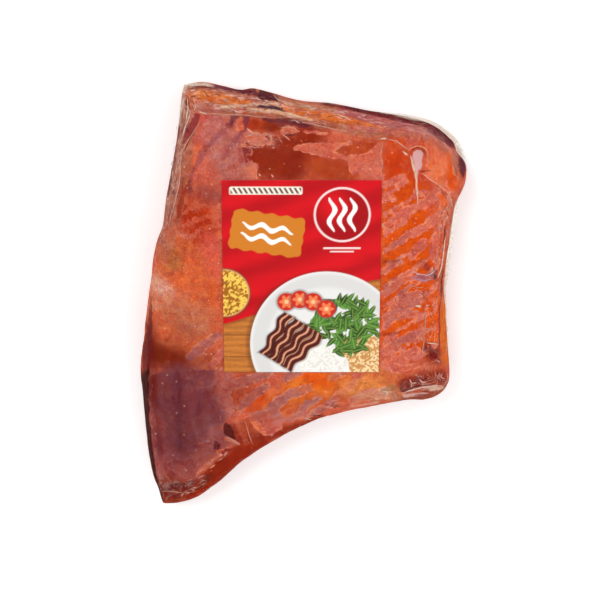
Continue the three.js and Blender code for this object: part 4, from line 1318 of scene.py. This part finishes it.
def meat_material():
    """Smoked meat and fat: the wet colour and the colour of the pale zone, which holds the film's
    painted sheen and the bands of fat, parted by a crisp, uneven edge, with grain, dark specks and
    pale specks painted as glints. Where the film is crushed, thin wrinkles with painted glints and
    painted shade run along the outline."""
    n = Nodes("smoked_belly")
    place = n.place()
    rag = n.math("SUBTRACT", n.noise(place, 420.0, 5.0, 0.7), 0.5)
    edge = n.math("ADD", n.attribute("pale", "Fac"), n.math("MULTIPLY", rag, 8.0))
    # the pale zone shows the film's painted sheen and the bands of fat
    sheen_and_fat = n.attribute("sheen_and_fat", "Color")
    colour = n.mix(n.spread(edge, -0.35, 0.35), n.attribute("wet", "Color"), sheen_and_fat)
    colour = meat_grain(n, place, colour)
    drift = n.noise(place, 240.0, 3.0, 0.6, 0.8)
    warm = n.spread(drift, 0.35, 0.65, 0.94, 1.07)
    cool = n.spread(drift, 0.35, 0.65, 1.20, 0.82)
    colour = n.mix(1.0, colour, n.combine(warm, 1.0, cool), "MULTIPLY")

    # a light rim along the edge of the pale zone, in places, where the colour of painted sheen and fat isn't
    # dark
    rim = n.spread(n.off_middle(edge), 0.2, 1.0, 0.42, 0.0)
    rim = n.math("MULTIPLY", rim, n.spread(drift, 0.48, 0.56))
    rim = n.math("MULTIPLY", rim, n.spread(n.separate(sheen_and_fat)[1], 0.06, 0.13))
    colour = n.mix(rim, colour, (0.80, 0.36, 0.22, 1.0))

    ragged_mark = n.math("ADD", n.attribute("mark", "Fac"), n.math("MULTIPLY", rag, 5.0))
    stain = n.spread(ragged_mark, -0.4, 0.4)
    stain = n.math("MULTIPLY", stain, n.attribute("mark_strength", "Fac"))
    colour = n.mix(stain, colour, n.attribute("mark_ink", "Color"))
    colour = meat_specks(n, place, colour)
    colour, wrinkle = meat_wrinkles(n, place, colour, stain)
    height = n.math("ADD", n.noise(place, 500.0, 4.0, 0.6), wrinkle)
    shader = n.add("ShaderNodeBsdfPrincipled", None, {
        "Base Color": colour, "Roughness": 0.6, "Specular IOR Level": 0.0,
        "Subsurface Weight": 0.04, "Subsurface Radius": (1.0, 0.4, 0.25), "Subsurface Scale": 0.002,
        "Normal": n.bump(height, 0.4, 0.0007)})
    return n.finish(shader.outputs[0])



class PACK_OT_film(bpy.types.Operator):
    """Makes the clear film drawn over the slab, with its welded margin"""

    bl_idname = "pack.film"
    bl_label = "Film"

    def execute(self, context):
        crinkle_height = context.scene.pack_sizes.crinkle / MM
        grid, level, columns, strata = pack_surface(AROUND, *FILM_ROWS, True)
        normal = grid_normals(grid)
        fine = np.stack([lattice_noise(grid, 3.0, 131), lattice_noise(grid, 3.0, 132)], -1)
        crisp_q = picture_place(grid) + 0.5 * fine
        lev = row_levels(level, grid)

        # milk at its places in the picture, faded up the right-hand wall, and on the lip
        tone = np.zeros(grid.shape) + linear(INK["cream"])
        cover = np.zeros(grid.shape[:-1])
        for ink, path, soft, strength in FILM_MILK:
            share = strength * smooth(path_inside(crisp_q, path) / soft + 0.5)
            tone += share[..., None] * (ink_colour(ink) - tone)
            cover = cover + share * (1 - cover)
        up_the_right = smooth((lev - 1.3) / 0.45) * smooth((columns[None, :, 5] - 0.5) / 0.2)
        cover *= smooth((normal @ VIEW_BACK + 0.05) / 0.12) * (1 - 0.95 * up_the_right)
        wide_lip = smooth((columns[:, 4] - 1.3) / 1.2)[None, :]
        cover = np.maximum(cover, 0.55 * np.where(np.abs(lev - 1.0) < 1e-6, wide_lip, 0.0))

        crinkle = np.maximum(0.0, 1.0 - 2.5 * np.abs(layered_noise(grid, 9.0, 141)))
        relief = drawn_relief(grid, level, strata)
        relief = relief + crinkle_height * crinkle * beside_label(grid, 1.0, 6.0)
        body = grid + normal * (relief * off_margin(lev))[..., None]
        body[..., 2] = np.maximum(body[..., 2], 0.0)
        film = close_grid("film", body, 0.0, FACE_HEIGHT)
        add_colours(film, "tone", tone, tone[0, :2])
        add_values(film, "cover", cover, [0.0, 0.0])
        film.data.materials.append(film_material())
        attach(film, "root")
        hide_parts("bag")
        return {"FINISHED"}


def film_material():
    """Clear glossy film: see-through with a Fresnel gloss over fine crinkles, and milky where
    the cover value is high. On the creases the same part shows their painted highlights and painted shade."""
    n = Nodes("clear_film")
    place = n.place()
    ridge = n.off_middle(n.noise(place, 130.0, 3.0, 0.55, 0.6))
    fine = n.noise(place, 420.0, 2.0, 0.5)
    height = n.math("ADD", n.math("MULTIPLY", ridge, -1.8), n.math("MULTIPLY", fine, 0.35))
    normal = n.bump(height, 0.6, 0.0013)
    gloss = n.add("ShaderNodeBsdfGlossy", None, {
        "Roughness": 0.085, "Normal": normal, "Color": (1.0, 0.93, 0.90, 1.0)})
    clear = n.add("ShaderNodeBsdfTransparent")
    fresnel = n.add("ShaderNodeFresnel", None, {"IOR": 1.45, "Normal": normal})
    share = n.math("MULTIPLY", n.math("SUBTRACT", fresnel.outputs[0], 0.018), 0.6)
    share = n.math("MINIMUM", share, 0.015)
    sheet = n.add("ShaderNodeMixShader", None, {0: share, 1: clear.outputs[0], 2: gloss.outputs[0]})
    grain = n.spread(n.noise(place, 900.0, 3.0, 0.6), 0.3, 0.7, 0.80, 1.14)
    tone = n.mix(1.0, n.attribute("tone", "Color"), n.combine(grain, grain, grain), "MULTIPLY")
    # milky film, and on the creases their painted highlights and painted shade
    milk_and_painted_lines = n.add("ShaderNodeBsdfPrincipled", None, {
        "Base Color": tone, "Roughness": 0.45, "Specular IOR Level": 0.3, "Normal": normal})
    torn = n.spread(n.noise(place, 560.0, 3.0, 0.65), 0.36, 0.50, 0.66, 1.0)
    cover = n.math("MULTIPLY", n.attribute("cover", "Fac"), torn)
    shader = n.add("ShaderNodeMixShader", None, {0: cover, 1: sheet.outputs[0], 2: milk_and_painted_lines.outputs[0]})
    return n.finish(shader.outputs[0])



def surface_under(q, seen):
    """Index of the vertex seen at each half pixel of the picture: every seen vertex marks its
    own cell, and in six rounds an empty cell takes a neighbour's."""
    cells = np.full((PICTURE * 2, PICTURE * 2), -1, np.int64)
    index = np.flatnonzero(seen.ravel() > 0.3)
    spot = np.clip(np.round(q.reshape(-1, 2)[index] * 2).astype(int), 0, PICTURE * 2 - 1)
    cells[spot[:, 1], spot[:, 0]] = index
    for _ in range(6):
        for axis, step in ((0, 1), (0, -1), (1, 1), (1, -1)):
            cells = np.where(cells < 0, np.roll(cells, step, axis), cells)
    return cells


def lay_on(spots, cells, grid, normal):
    """Places and normals on the surface under places of the picture, and whether there is a
    surface under all of them: the ray through each place is cut with the plane of the vertex
    seen there, then evened along the path."""
    sideways = (spots[:, :1] - PICTURE / 2) / FOCAL * np.array([1.0, 0.0, 0.0])
    ray = sideways + (PICTURE / 2 - spots[:, 1:]) / FOCAL * VIEW_UP - VIEW_BACK
    cell = np.clip(np.round(spots * 2).astype(int), 0, PICTURE * 2 - 1)
    index = cells[cell[:, 1], cell[:, 0]]
    point, face = grid.reshape(-1, 3)[index], normal.reshape(-1, 3)[index]
    reach = ((point - EYE) * face).sum(1) / np.minimum((ray * face).sum(1), -0.15)
    place = EYE + ray * reach[:, None]
    for _ in range(3):
        place[1:-1] = (place[:-2] + 2 * place[1:-1] + place[2:]) / 4
        face[1:-1] = (face[:-2] + 2 * face[1:-1] + face[2:]) / 4
    return place, face / np.linalg.norm(face, axis=1)[:, None], (index >= 0).all()



def small_creases():
    """Short strokes in the crushed zones, thrown by a seeded draw: each starts beside the
    zone's path and runs roughly along it, in an ink of painted highlight or painted shade."""
    rng = np.random.default_rng(19)
    strokes = []
    for path, _, strength in CRUSHED:
        spots = np.array(path, float)
        run = np.linalg.norm(np.diff(spots[:, :2], axis=0), axis=1)
        total = run.sum()
        for _ in range(int(total * 0.42 * strength) + 3):
            at = rng.uniform(0, total)
            k = min(int(np.searchsorted(np.cumsum(run), at)), len(run) - 1)
            share = rng.uniform(0, 1)
            middle = spots[k] + (spots[k + 1] - spots[k]) * share
            heading = math.atan2(*(spots[k + 1] - spots[k])[1::-1]) + rng.normal(0, 0.42)
            side = rng.uniform(-1, 1) * middle[2] * 0.9
            x = middle[0] - math.sin(heading) * side
            y = middle[1] + math.cos(heading) * side
            length = rng.uniform(2.5, 9.0)
            bend = rng.normal(0, 0.25)
            wide = rng.uniform(0.16, 0.42)
            steps = np.linspace(-0.5, 0.5, 5)
            turn = heading + bend * steps * 2
            px = x + np.cumsum(np.cos(turn)) * length / 5
            py = y + np.cumsum(np.sin(turn)) * length / 5
            stroke = [(a, b, wide) for a, b in zip(px, py)]
            ink = CREASE_INKS[int(rng.integers(0, len(CREASE_INKS)))]
            strokes.append((ink, stroke, strength * rng.uniform(0.4, 0.8)))
    return strokes


def even_line(path):
    """A path of spots (x, y, width) laid out at even steps and shaken a little by noise."""
    spots = np.array(path, float)
    length = np.linalg.norm(np.diff(spots[:, :2], axis=0), axis=1)
    run = np.concatenate([[0], np.cumsum(length)])
    at = np.linspace(0, run[-1], max(int(run[-1] / CREASE_STEP) + 1, 4))
    line = np.stack([np.interp(at, run, spots[:, j]) for j in range(3)], 1)
    wobble = [
        lattice_noise(np.column_stack([line[:, :2], line[:, 0] * 0 + k]), 5.0, 301 + k)
        for k in (0, 1)]
    line[:, :2] += 0.55 * np.stack(wobble, 1)
    return line


def ridge(width, place, face, ahead):
    """A ring of four points at each place of a line on the surface: wide in the middle,
    tapered to the ends and a little rough."""
    side = np.cross(ahead, face)
    share = np.linspace(0.02, 0.98, len(width))
    taper = 0.15 + 0.85 * np.sqrt(np.clip(np.sin(share * np.pi), 0, 1))
    rough = 1.0 + 0.35 * lattice_noise(place, 1.8, 311)
    half = (width * 0.62 * taper * rough)[:, None]
    high = np.minimum(0.30, 0.05 + 0.45 * half)
    points = [place - side * half, place + face * high, place + side * half, place - face * 0.12]
    return np.stack(points, 1).reshape(-1, 3)


def tube_faces(count, base):
    """Sides and two ends of a four-sided tube of so many rings, from its first vertex on."""
    k = base + (np.arange(count - 1) * 4)[:, None]
    c = np.arange(4)
    d = (c + 1) % 4
    last = base + (count - 1) * 4
    ends = np.array([[base + 3, base + 2, base + 1, base], [last, last + 1, last + 2, last + 3]])
    return np.vstack([np.stack([k + c, k + d, k + 4 + d, k + 4 + c], -1).reshape(-1, 4), ends])


class PACK_OT_creases(bpy.types.Operator):
    """Makes the sharp creases of the film as thin ridges that lie on it, coloured with painted highlights
    and painted shade
    """

    bl_idname = "pack.creases"
    bl_label = "Creases"

    def execute(self, context):
        grid, level, _, strata = pack_surface(AROUND, *FILM_ROWS, True)
        normal = grid_normals(grid)
        lev = row_levels(level, grid)
        relief = drawn_relief(grid, level, strata) * off_margin(lev)
        grid = grid + normal * relief[..., None]
        cells = surface_under(picture_place(grid), np.where(lev >= 1.0, normal @ VIEW_BACK, 0.0))
        vertices, quads, tones, covers, base = [], [], [], [], 0
        for ink, path, strength in list(FILM_GLINTS) + small_creases():
            line = even_line(path)
            place, face, held = lay_on(line[:, :2], cells, grid, normal)
            ahead = np.gradient(place, axis=0)
            size = np.linalg.norm(ahead, axis=1)
            if not held or size.min() < 1e-3 or size.max() > 2.5:
                continue
            vertices.append(ridge(line[:, 2], place, face, ahead / size[:, None]))
            quads.append(tube_faces(len(line), base))
            # each ridge's tone is its painted highlight or painted shade
            tones.append(np.broadcast_to(ink_colour(ink), (len(line) * 4, 3)))
            covers.append(np.full(len(line) * 4, strength))
            base += len(line) * 4
        creases = make_mesh("film_creases", np.vstack(vertices), np.vstack(quads))
        add_colours(creases, "tone", np.vstack(tones))
        add_values(creases, "cover", np.concatenate(covers))
        creases.data.materials.append(bpy.data.materials["clear_film"])
        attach(creases, "root")
        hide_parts("bag")
        return {"FINISHED"}


class PACK_OT_label(bpy.types.Operator):
    """Makes the printed front label"""

    bl_idname = "pack.label"
    bl_label = "Label"

    def execute(self, context):
        sizes = context.scene.label_sizes
        half_x, half_y = sizes.width / MM / 2, sizes.height / MM / 2
        across, along = LABEL_STEPS
        u = np.linspace(-half_x, half_x, across + 1)
        v = np.linspace(-half_y, half_y, along + 1)
        x, y = np.meshgrid(u, v)
        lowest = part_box("label")[0][2] / MM
        wave = 0.10 * lattice_noise(np.stack([x, y, x * 0], -1), 30.0, 201)
        edge = np.minimum(half_x - np.abs(x), half_y - np.abs(y))
        top = lowest + sizes.thickness / MM + wave * smooth(edge / 6.0)
        centre = np.array(LABEL_CENTRE) + CENTRE_SHIFT
        sheet = np.stack([x + centre[0], y + centre[1], top], -1)
        rows, count = sheet.shape[:2]
        i, j = np.meshgrid(np.arange(rows - 1), np.arange(count - 1), indexing="ij")
        a = (i * count + j).ravel()
        quads = np.column_stack([a, a + 1, a + count + 1, a + count])
        ring = np.concatenate([
            np.arange(count), np.arange(1, rows) * count + count - 1,
            (rows - 1) * count + np.arange(count - 2, -1, -1),
            np.arange(rows - 2, 0, -1) * count])
        top_points = sheet.reshape(-1, 3)
        under = top_points[ring].copy()
        under[:, 2] = lowest
        base = len(top_points)
        k = np.arange(len(ring))
        nxt = (k + 1) % len(ring)
        walls = np.column_stack([ring[k], base + k, base + nxt, ring[nxt]])
        vertices, faces = np.vstack([top_points, under]), np.vstack([quads, walls])
        label = make_mesh("front_label", vertices, faces, (base + k[::-1],))
        paper = np.zeros((len(ring), 3)) + linear((235, 232, 226))
        add_colours(label, "print", print_colours(x, y, sizes), paper)
        label.data.materials.append(label_material())
        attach(label, "root")
        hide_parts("label")
        return {"FINISHED"}


def cover_of(inside, soft=0.35):
    """Cover from 0 to 1 of a shape from how far inside it a place is, in millimetres."""
    return smooth(inside / soft + 0.5)


def lay(canvas, cover, colour):
    """Lays a linear colour over the canvas with the given cover."""
    canvas += cover[..., None] * (np.asarray(colour, float) - canvas)


def print_board(y, place, fine):
    """A wooden board: wavy grain, with dark seams between its planks."""
    stretched = place * np.array([0.2, 1.0, 1.0])
    grain = np.sin(y * 1.5 + 2.6 * layered_noise(stretched, 6.0, 231))
    grain = grain + 0.6 * lattice_noise(stretched, 0.8, 235)
    canvas = linear((186, 112, 48)) * (1.0 + 0.14 * grain + 0.08 * fine)[..., None]
    seam = np.abs((y + 36.0) - 14.0 * np.round((y + 36.0) / 14.0))
    lay(canvas, 0.55 * cover_of(0.5 - seam, 0.5), linear((96, 50, 22)))
    return canvas


def print_cloth(canvas, x, y, place, rough, field):
    """A red cloth with soft folds. Its lower hem falls to the left."""
    fold = layered_noise(place * np.array([0.35, 1.0, 1.0]), 9.0, 241)
    lean = np.sin((y - 0.35 * x) * 0.33 + 1.2 * fold)
    red = np.array(field) * (1.0 + 0.16 * lean + 0.08 * fold)[..., None]
    hem = y + 1.0 + 0.30 * (47.0 - x) * smooth((70.0 - x) / 60.0) + 0.6 * rough
    lay(canvas, cover_of(hem + 1.2, 3.0) * 0.5, linear((70, 20, 10)))
    lay(canvas, cover_of(hem, 0.5), red)


def print_ring(canvas, x, y, field):
    """A ring with three strokes of rising smoke, and two rules under it."""
    r = np.hypot(x, y)
    shine = smooth((16.0 - np.hypot(x + 6.0, y - 6.0)) / 16.0)
    lay(canvas, cover_of(RING_RADIUS - r, 0.5), np.array(field) * (0.66 + 0.6 * shine)[..., None])
    lay(canvas, cover_of(0.6 - np.abs(r - RING_RADIUS), 0.5), linear((240, 214, 210)))
    for shift in (-6.0, 0.0, 6.0):
        bend = 1.7 * np.sin(y * 0.42 + shift)
        stroke = 1.5 * np.sqrt(np.clip(1 - (y / 10.5) ** 2, 0, 1)) - np.abs(x - shift - bend)
        cover = cover_of(np.minimum(stroke, 10.5 - np.abs(y)), 0.4)
        lay(canvas, cover, linear((250, 244, 240)))
    for half, thin, drop in ((11.0, 0.55, 20.5), (7.0, 0.35, 22.6)):
        cover = cover_of(np.minimum(half - np.abs(x), thin - np.abs(y + drop)))
        lay(canvas, cover, linear((240, 220, 216)))


def print_plaque(canvas, x, y, badge):
    """A wavy plaque, turned a little, with two waves on it."""
    turn = math.radians(-9.0)
    bx = x * math.cos(turn) + y * math.sin(turn)
    by = -x * math.sin(turn) + y * math.cos(turn)
    round_x = np.maximum(np.abs(bx) - 18.6 + 0.3 * np.sin(by * 0.9), 0)
    round_y = np.maximum(np.abs(by - 0.55 * np.sin(bx * 0.72 + 0.5)) - 9.2, 0)
    lay(canvas, cover_of(3.0 - np.hypot(round_x, round_y), 0.4), badge)
    for level in (3.4, -3.4):
        crest = level + 1.5 * np.sin(bx * 0.5 + level)
        stroke = 1.6 * np.sqrt(np.clip(1 - (bx / 15.5) ** 2, 0, 1)) - np.abs(by - crest)
        cover = cover_of(np.minimum(stroke, 15.5 - np.abs(bx)), 0.4)
        lay(canvas, cover, linear((252, 246, 236)))


def print_ribbon(canvas, x, y):
    """A cream ribbon with slanting stripes."""
    ribbon = 1.0 - np.hypot(np.maximum(np.abs(x) - 20.5, 0), np.maximum(np.abs(y) - 1.4, 0))
    lay(canvas, cover_of(ribbon), linear((240, 232, 216)))
    stripe = 0.42 - np.abs(np.mod(x + 0.6 * y, 3.0) / 3.0 - 0.5)
    inside = np.minimum(np.minimum(-stripe + 0.16, 0.4) * 4, ribbon - 0.7)
    lay(canvas, cover_of(inside, 0.6), linear((92, 44, 32)))


def print_dish(canvas, x, y, r):
    """A white dish with a shaded well, and its shadow."""
    shadow = np.hypot(x + 1.5, y + 0.5)
    lay(canvas, 0.45 * smooth((48.5 - shadow) / 3.0), linear((70, 34, 14)))
    rim_light = 0.12 * smooth((r - 43.0) / 3.0) - 0.10 * smooth((r - 34.0) / 4.0)
    lay(canvas, cover_of(DISH_RADIUS - r, 0.5), linear((226, 224, 221)) + rim_light[..., None])


def print_heaps(canvas, x, y, rough, fine):
    """A heap of crumbs and a white mound at the front of the dish."""
    dark, light = linear((196, 138, 78)), linear((240, 210, 160))
    gold = dark + smooth((fine + 0.1) / 0.5)[..., None] * (light - dark)
    lay(canvas, cover_of(15.0 + 1.5 * rough - np.hypot((x - 22.0) * 0.9, y + 9.0), 0.8), gold)
    mound = linear((238, 234, 226)) * (1.0 - 0.16 * smooth((fine - 0.1) / 0.4))[..., None]
    lay(canvas, cover_of(15.0 + 1.5 * rough - np.hypot(x + 1.0, y + 16.0), 0.8), mound)


def print_leaves(canvas, x, y, r):
    """Leaves thrown in a fan by a seeded draw, each with a pale vein."""
    rng = np.random.default_rng(5)
    for _ in range(150):
        reach, lean = 19.0 * math.sqrt(rng.uniform()), rng.uniform(0, 2 * math.pi)
        lx = x - 11.0 - 1.05 * reach * math.cos(lean)
        ly = y - 12.0 - 0.95 * reach * math.sin(lean)
        slant = rng.uniform(0, math.pi)
        u = lx * math.cos(slant) + ly * math.sin(slant)
        v = -lx * math.sin(slant) + ly * math.cos(slant)
        leaf = np.minimum(1.5 * (1 - (u / 4.6) ** 2) - np.abs(v), 4.6 - np.abs(u))
        tint = linear((58, 98, 36)) * rng.uniform(0.3, 2.1)
        lay(canvas, cover_of(np.minimum(leaf, 38.0 - r), 0.5), tint)
        vein = np.minimum(0.3 - np.abs(v), 4.0 - np.abs(u))
        lay(canvas, 0.6 * cover_of(vein, 0.4), linear((146, 176, 88)))


def print_slices(canvas, x, y, r):
    """Round slices of red fruit with a pale core, each over a soft shadow."""
    for k in range(4):
        sx, sy = x + 24.0 - 8.0 * k, y - 27.0 + 1.5 * k * k - 3.0 * k
        out = np.hypot(sx, sy)
        lay(canvas, 0.45 * cover_of(5.6 - out + 1.0, 1.2), linear((90, 90, 90)))
        lay(canvas, cover_of(np.minimum(5.6 - out, FOOD_REACH - r), 0.4), linear((196, 44, 30)))
        flesh = 3.6 + np.cos(6.0 * np.arctan2(sy, sx)) * 0.9 - out
        lay(canvas, cover_of(np.minimum(flesh, FOOD_REACH - r), 0.6), linear((232, 120, 74)))
        lay(canvas, cover_of(1.3 - out, 0.6), linear((240, 190, 140)))


def print_rashers(canvas, x, y, r, rough):
    """Rashers: wavy bands of lean and fat, each over a soft shadow."""
    lean, fat = linear((84, 30, 24)), linear((216, 150, 116))
    for k in range(4):
        slant = math.radians(62.0 - 5.0 * k)
        ox, oy = x + 30.0 - 5.2 * k, y - 6.0 + 3.4 * k
        u = ox * math.cos(slant) + oy * math.sin(slant)
        v = -ox * math.sin(slant) + oy * math.cos(slant) + 1.0 * np.sin(u * 0.5 + k)
        streak = smooth((np.sin(v * 1.7 + 0.6 * k) + 0.3 * rough - 0.35) / 0.4)[..., None]
        shade = (1.0 - 0.5 * smooth((np.abs(v) - 2.6) / 1.0))[..., None]
        inside = np.minimum(3.6 - np.abs(v), 15.0 - np.abs(u))
        shadow = np.minimum(inside + 0.8, FOOD_REACH - r)
        lay(canvas, 0.4 * cover_of(shadow, 1.2), linear((40, 20, 16)))
        meat = (lean + streak * (fat - lean)) * shade
        lay(canvas, cover_of(np.minimum(inside, FOOD_REACH - r), 0.4), meat)


def print_bowl(canvas, x, y, rough, fine):
    """A small bowl of yellow crumbs, cut off by the label's left edge."""
    r = np.hypot(x, y)
    lay(canvas, cover_of(15.6 - r, 0.5), linear((120, 56, 34)))
    lay(canvas, cover_of(15.0 - r, 0.5), linear((206, 150, 100)))
    dark, light = linear((160, 96, 28)), linear((238, 196, 84))
    yellow = dark + smooth((fine + 0.6 * rough + 0.3) / 0.6)[..., None] * (light - dark)
    lay(canvas, cover_of(14.2 - r, 0.5), yellow)


def print_colours(x, y, sizes):
    """The label's print as fields of colour: a red cloth over a wooden board, a ring with
    rising smoke, a wavy plaque, a striped ribbon, a white dish with rashers and plain heaps,
    and a small bowl. Positions are in millimetres from the label's middle."""
    place = np.stack([x, y, x * 0], -1)
    rough = layered_noise(place, 5.0, 211)
    fine = lattice_noise(place, 0.9, 221)
    canvas = print_board(y, place, fine)
    print_cloth(canvas, x, y, place, rough, sizes.field)
    print_ring(canvas, x - RING_PLACE[0], y - RING_PLACE[1], sizes.field)
    print_plaque(canvas, x - PLAQUE_PLACE[0], y - PLAQUE_PLACE[1], sizes.badge)
    print_ribbon(canvas, x - RIBBON_PLACE[0], y - RIBBON_PLACE[1])
    dx, dy = x - DISH_PLACE[0], y - DISH_PLACE[1]
    r = np.hypot(dx, dy)
    print_dish(canvas, dx, dy, r)
    print_heaps(canvas, dx, dy, rough, fine)
    print_leaves(canvas, dx, dy, r)
    print_slices(canvas, dx, dy, r)
    print_rashers(canvas, dx, dy, r, rough)
    print_bowl(canvas, x - BOWL_PLACE[0], y - BOWL_PLACE[1], rough, fine)
    return np.clip(canvas, 0.0, 1.0)



def label_material():
    """Printed paper with a satin varnish and a faint tooth."""
    n = Nodes("printed_label")
    place = n.place()
    tooth = n.noise(place, 2600.0, 2.0, 0.5)
    normal = n.bump(tooth, 0.12, 0.0002)
    wear = n.spread(n.noise(place, 60.0, 3.0, 0.5), 0.3, 0.7, 0.30, 0.42)
    tone = n.spread(tooth, 0.2, 0.8, 0.97, 1.03)
    colour = n.mix(1.0, n.attribute("print", "Color"), n.combine(tone, tone, tone), "MULTIPLY")
    shader = n.add("ShaderNodeBsdfPrincipled", None, {
        "Base Color": colour, "Roughness": wear, "Specular IOR Level": 0.12, "Normal": normal})
    return n.finish(shader.outputs[0])


def add_light(name, place, aim, size, power):
    """A square area light at a place, turned to its aim."""
    data = bpy.data.lights.new(name, "AREA")
    data.shape = "SQUARE"
    data.size = size
    data.energy = power
    light = bpy.data.objects.new(name, data)
    light.location = place
    light.rotation_euler = (Vector(aim) - Vector(place)).to_track_quat("-Z", "Y").to_euler()
    bpy.context.scene.collection.objects.link(light)
    return light


class PACK_OT_stage(bpy.types.Operator):
    """Sets up the floor, the soft studio light and the camera"""

    bl_idname = "pack.stage"
    bl_label = "Stage"

    def execute(self, context):
        sizes = context.scene.stage_sizes
        half = sizes.floor_size / 2
        mesh = bpy.data.meshes.new("floor")
        corners = [(-half, -half), (half, -half), (half, half), (-half, half)]
        mesh.from_pydata([corner + (-FLOOR_DROP,) for corner in corners], [], [(0, 1, 2, 3)])
        floor = bpy.data.objects.new("floor", mesh)
        context.scene.collection.objects.link(floor)
        n = Nodes("pale_floor")
        tone = tuple(sizes.floor_tone) + (1.0,)
        paper = n.add("ShaderNodeBsdfDiffuse", None, {"Color": tone})
        lift = n.add("ShaderNodeEmission", None, {"Color": tone, "Strength": FLOOR_LIFT})
        shader = n.add("ShaderNodeAddShader", None, {0: paper.outputs[0], 1: lift.outputs[0]})
        floor.data.materials.append(n.finish(shader.outputs[0]))

        world = bpy.data.worlds.new("studio")
        context.scene.world = world
        world.use_nodes = True
        background = world.node_tree.nodes["Background"]
        background.inputs[0].default_value = (1.0, 1.0, 1.0, 1.0)
        background.inputs[1].default_value = WORLD_LIGHT

        for lamp in SOFTBOXES:
            add_light(*lamp)
        for lamp in SPARKLES:
            add_light(*lamp).visible_diffuse = False

        data = bpy.data.cameras.new("camera")
        data.lens = sizes.lens
        data.sensor_width = SENSOR
        data.clip_end = 20.0
        camera = bpy.data.objects.new("camera", data)
        back = Vector((0.0, math.sin(sizes.tilt), math.cos(sizes.tilt)))
        up = Vector((0.0, math.cos(sizes.tilt), -math.sin(sizes.tilt)))
        turn = Matrix((Vector((1.0, 0.0, 0.0)), up, back)).transposed().to_4x4()
        spot = Vector(VIEW_TARGET * MM) + back * VIEW_REACH * MM
        camera.matrix_world = Matrix.Translation(spot) @ turn
        context.scene.collection.objects.link(camera)
        context.scene.camera = camera
        context.scene.view_settings.view_transform = "Standard"
        context.scene.view_settings.look = "None"
        return {"FINISHED"}


class PACK_PT_panel(bpy.types.Panel):
    """Lists the pack's pieces in the sidebar"""

    bl_idname = "PACK_PT_panel"
    bl_label = "Bacon Pack"
    bl_space_type = "VIEW_3D"
    bl_region_type = "UI"
    bl_category = "Pack"

    def draw(self, context):
        layout = self.layout
        scene = context.scene
        for group in (scene.pack_sizes, scene.label_sizes, scene.stage_sizes):
            for name in group.__annotations__:
                layout.prop(group, name)
        for operator in OPERATORS:
            layout.operator(operator.bl_idname)


OPERATORS = (PACK_OT_slab, PACK_OT_film, PACK_OT_creases, PACK_OT_label, PACK_OT_stage)
CLASSES = (PackSizes, LabelSizes, StageSizes) + OPERATORS + (PACK_PT_panel,)


def register():
    for cls in CLASSES:
        bpy.utils.register_class(cls)
    bpy.types.Scene.pack_sizes = PointerProperty(type=PackSizes)
    bpy.types.Scene.label_sizes = PointerProperty(type=LabelSizes)
    bpy.types.Scene.stage_sizes = PointerProperty(type=StageSizes)


def unregister():
    del bpy.types.Scene.stage_sizes
    del bpy.types.Scene.label_sizes
    del bpy.types.Scene.pack_sizes
    for cls in reversed(CLASSES):
        bpy.utils.unregister_class(cls)


def main():
    """Registers the classes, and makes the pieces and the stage."""
    register()
    bpy.ops.pack.slab()
    bpy.ops.pack.film()
    bpy.ops.pack.creases()
    bpy.ops.pack.label()
    bpy.ops.pack.stage()


if __name__ == "__main__":
    main()
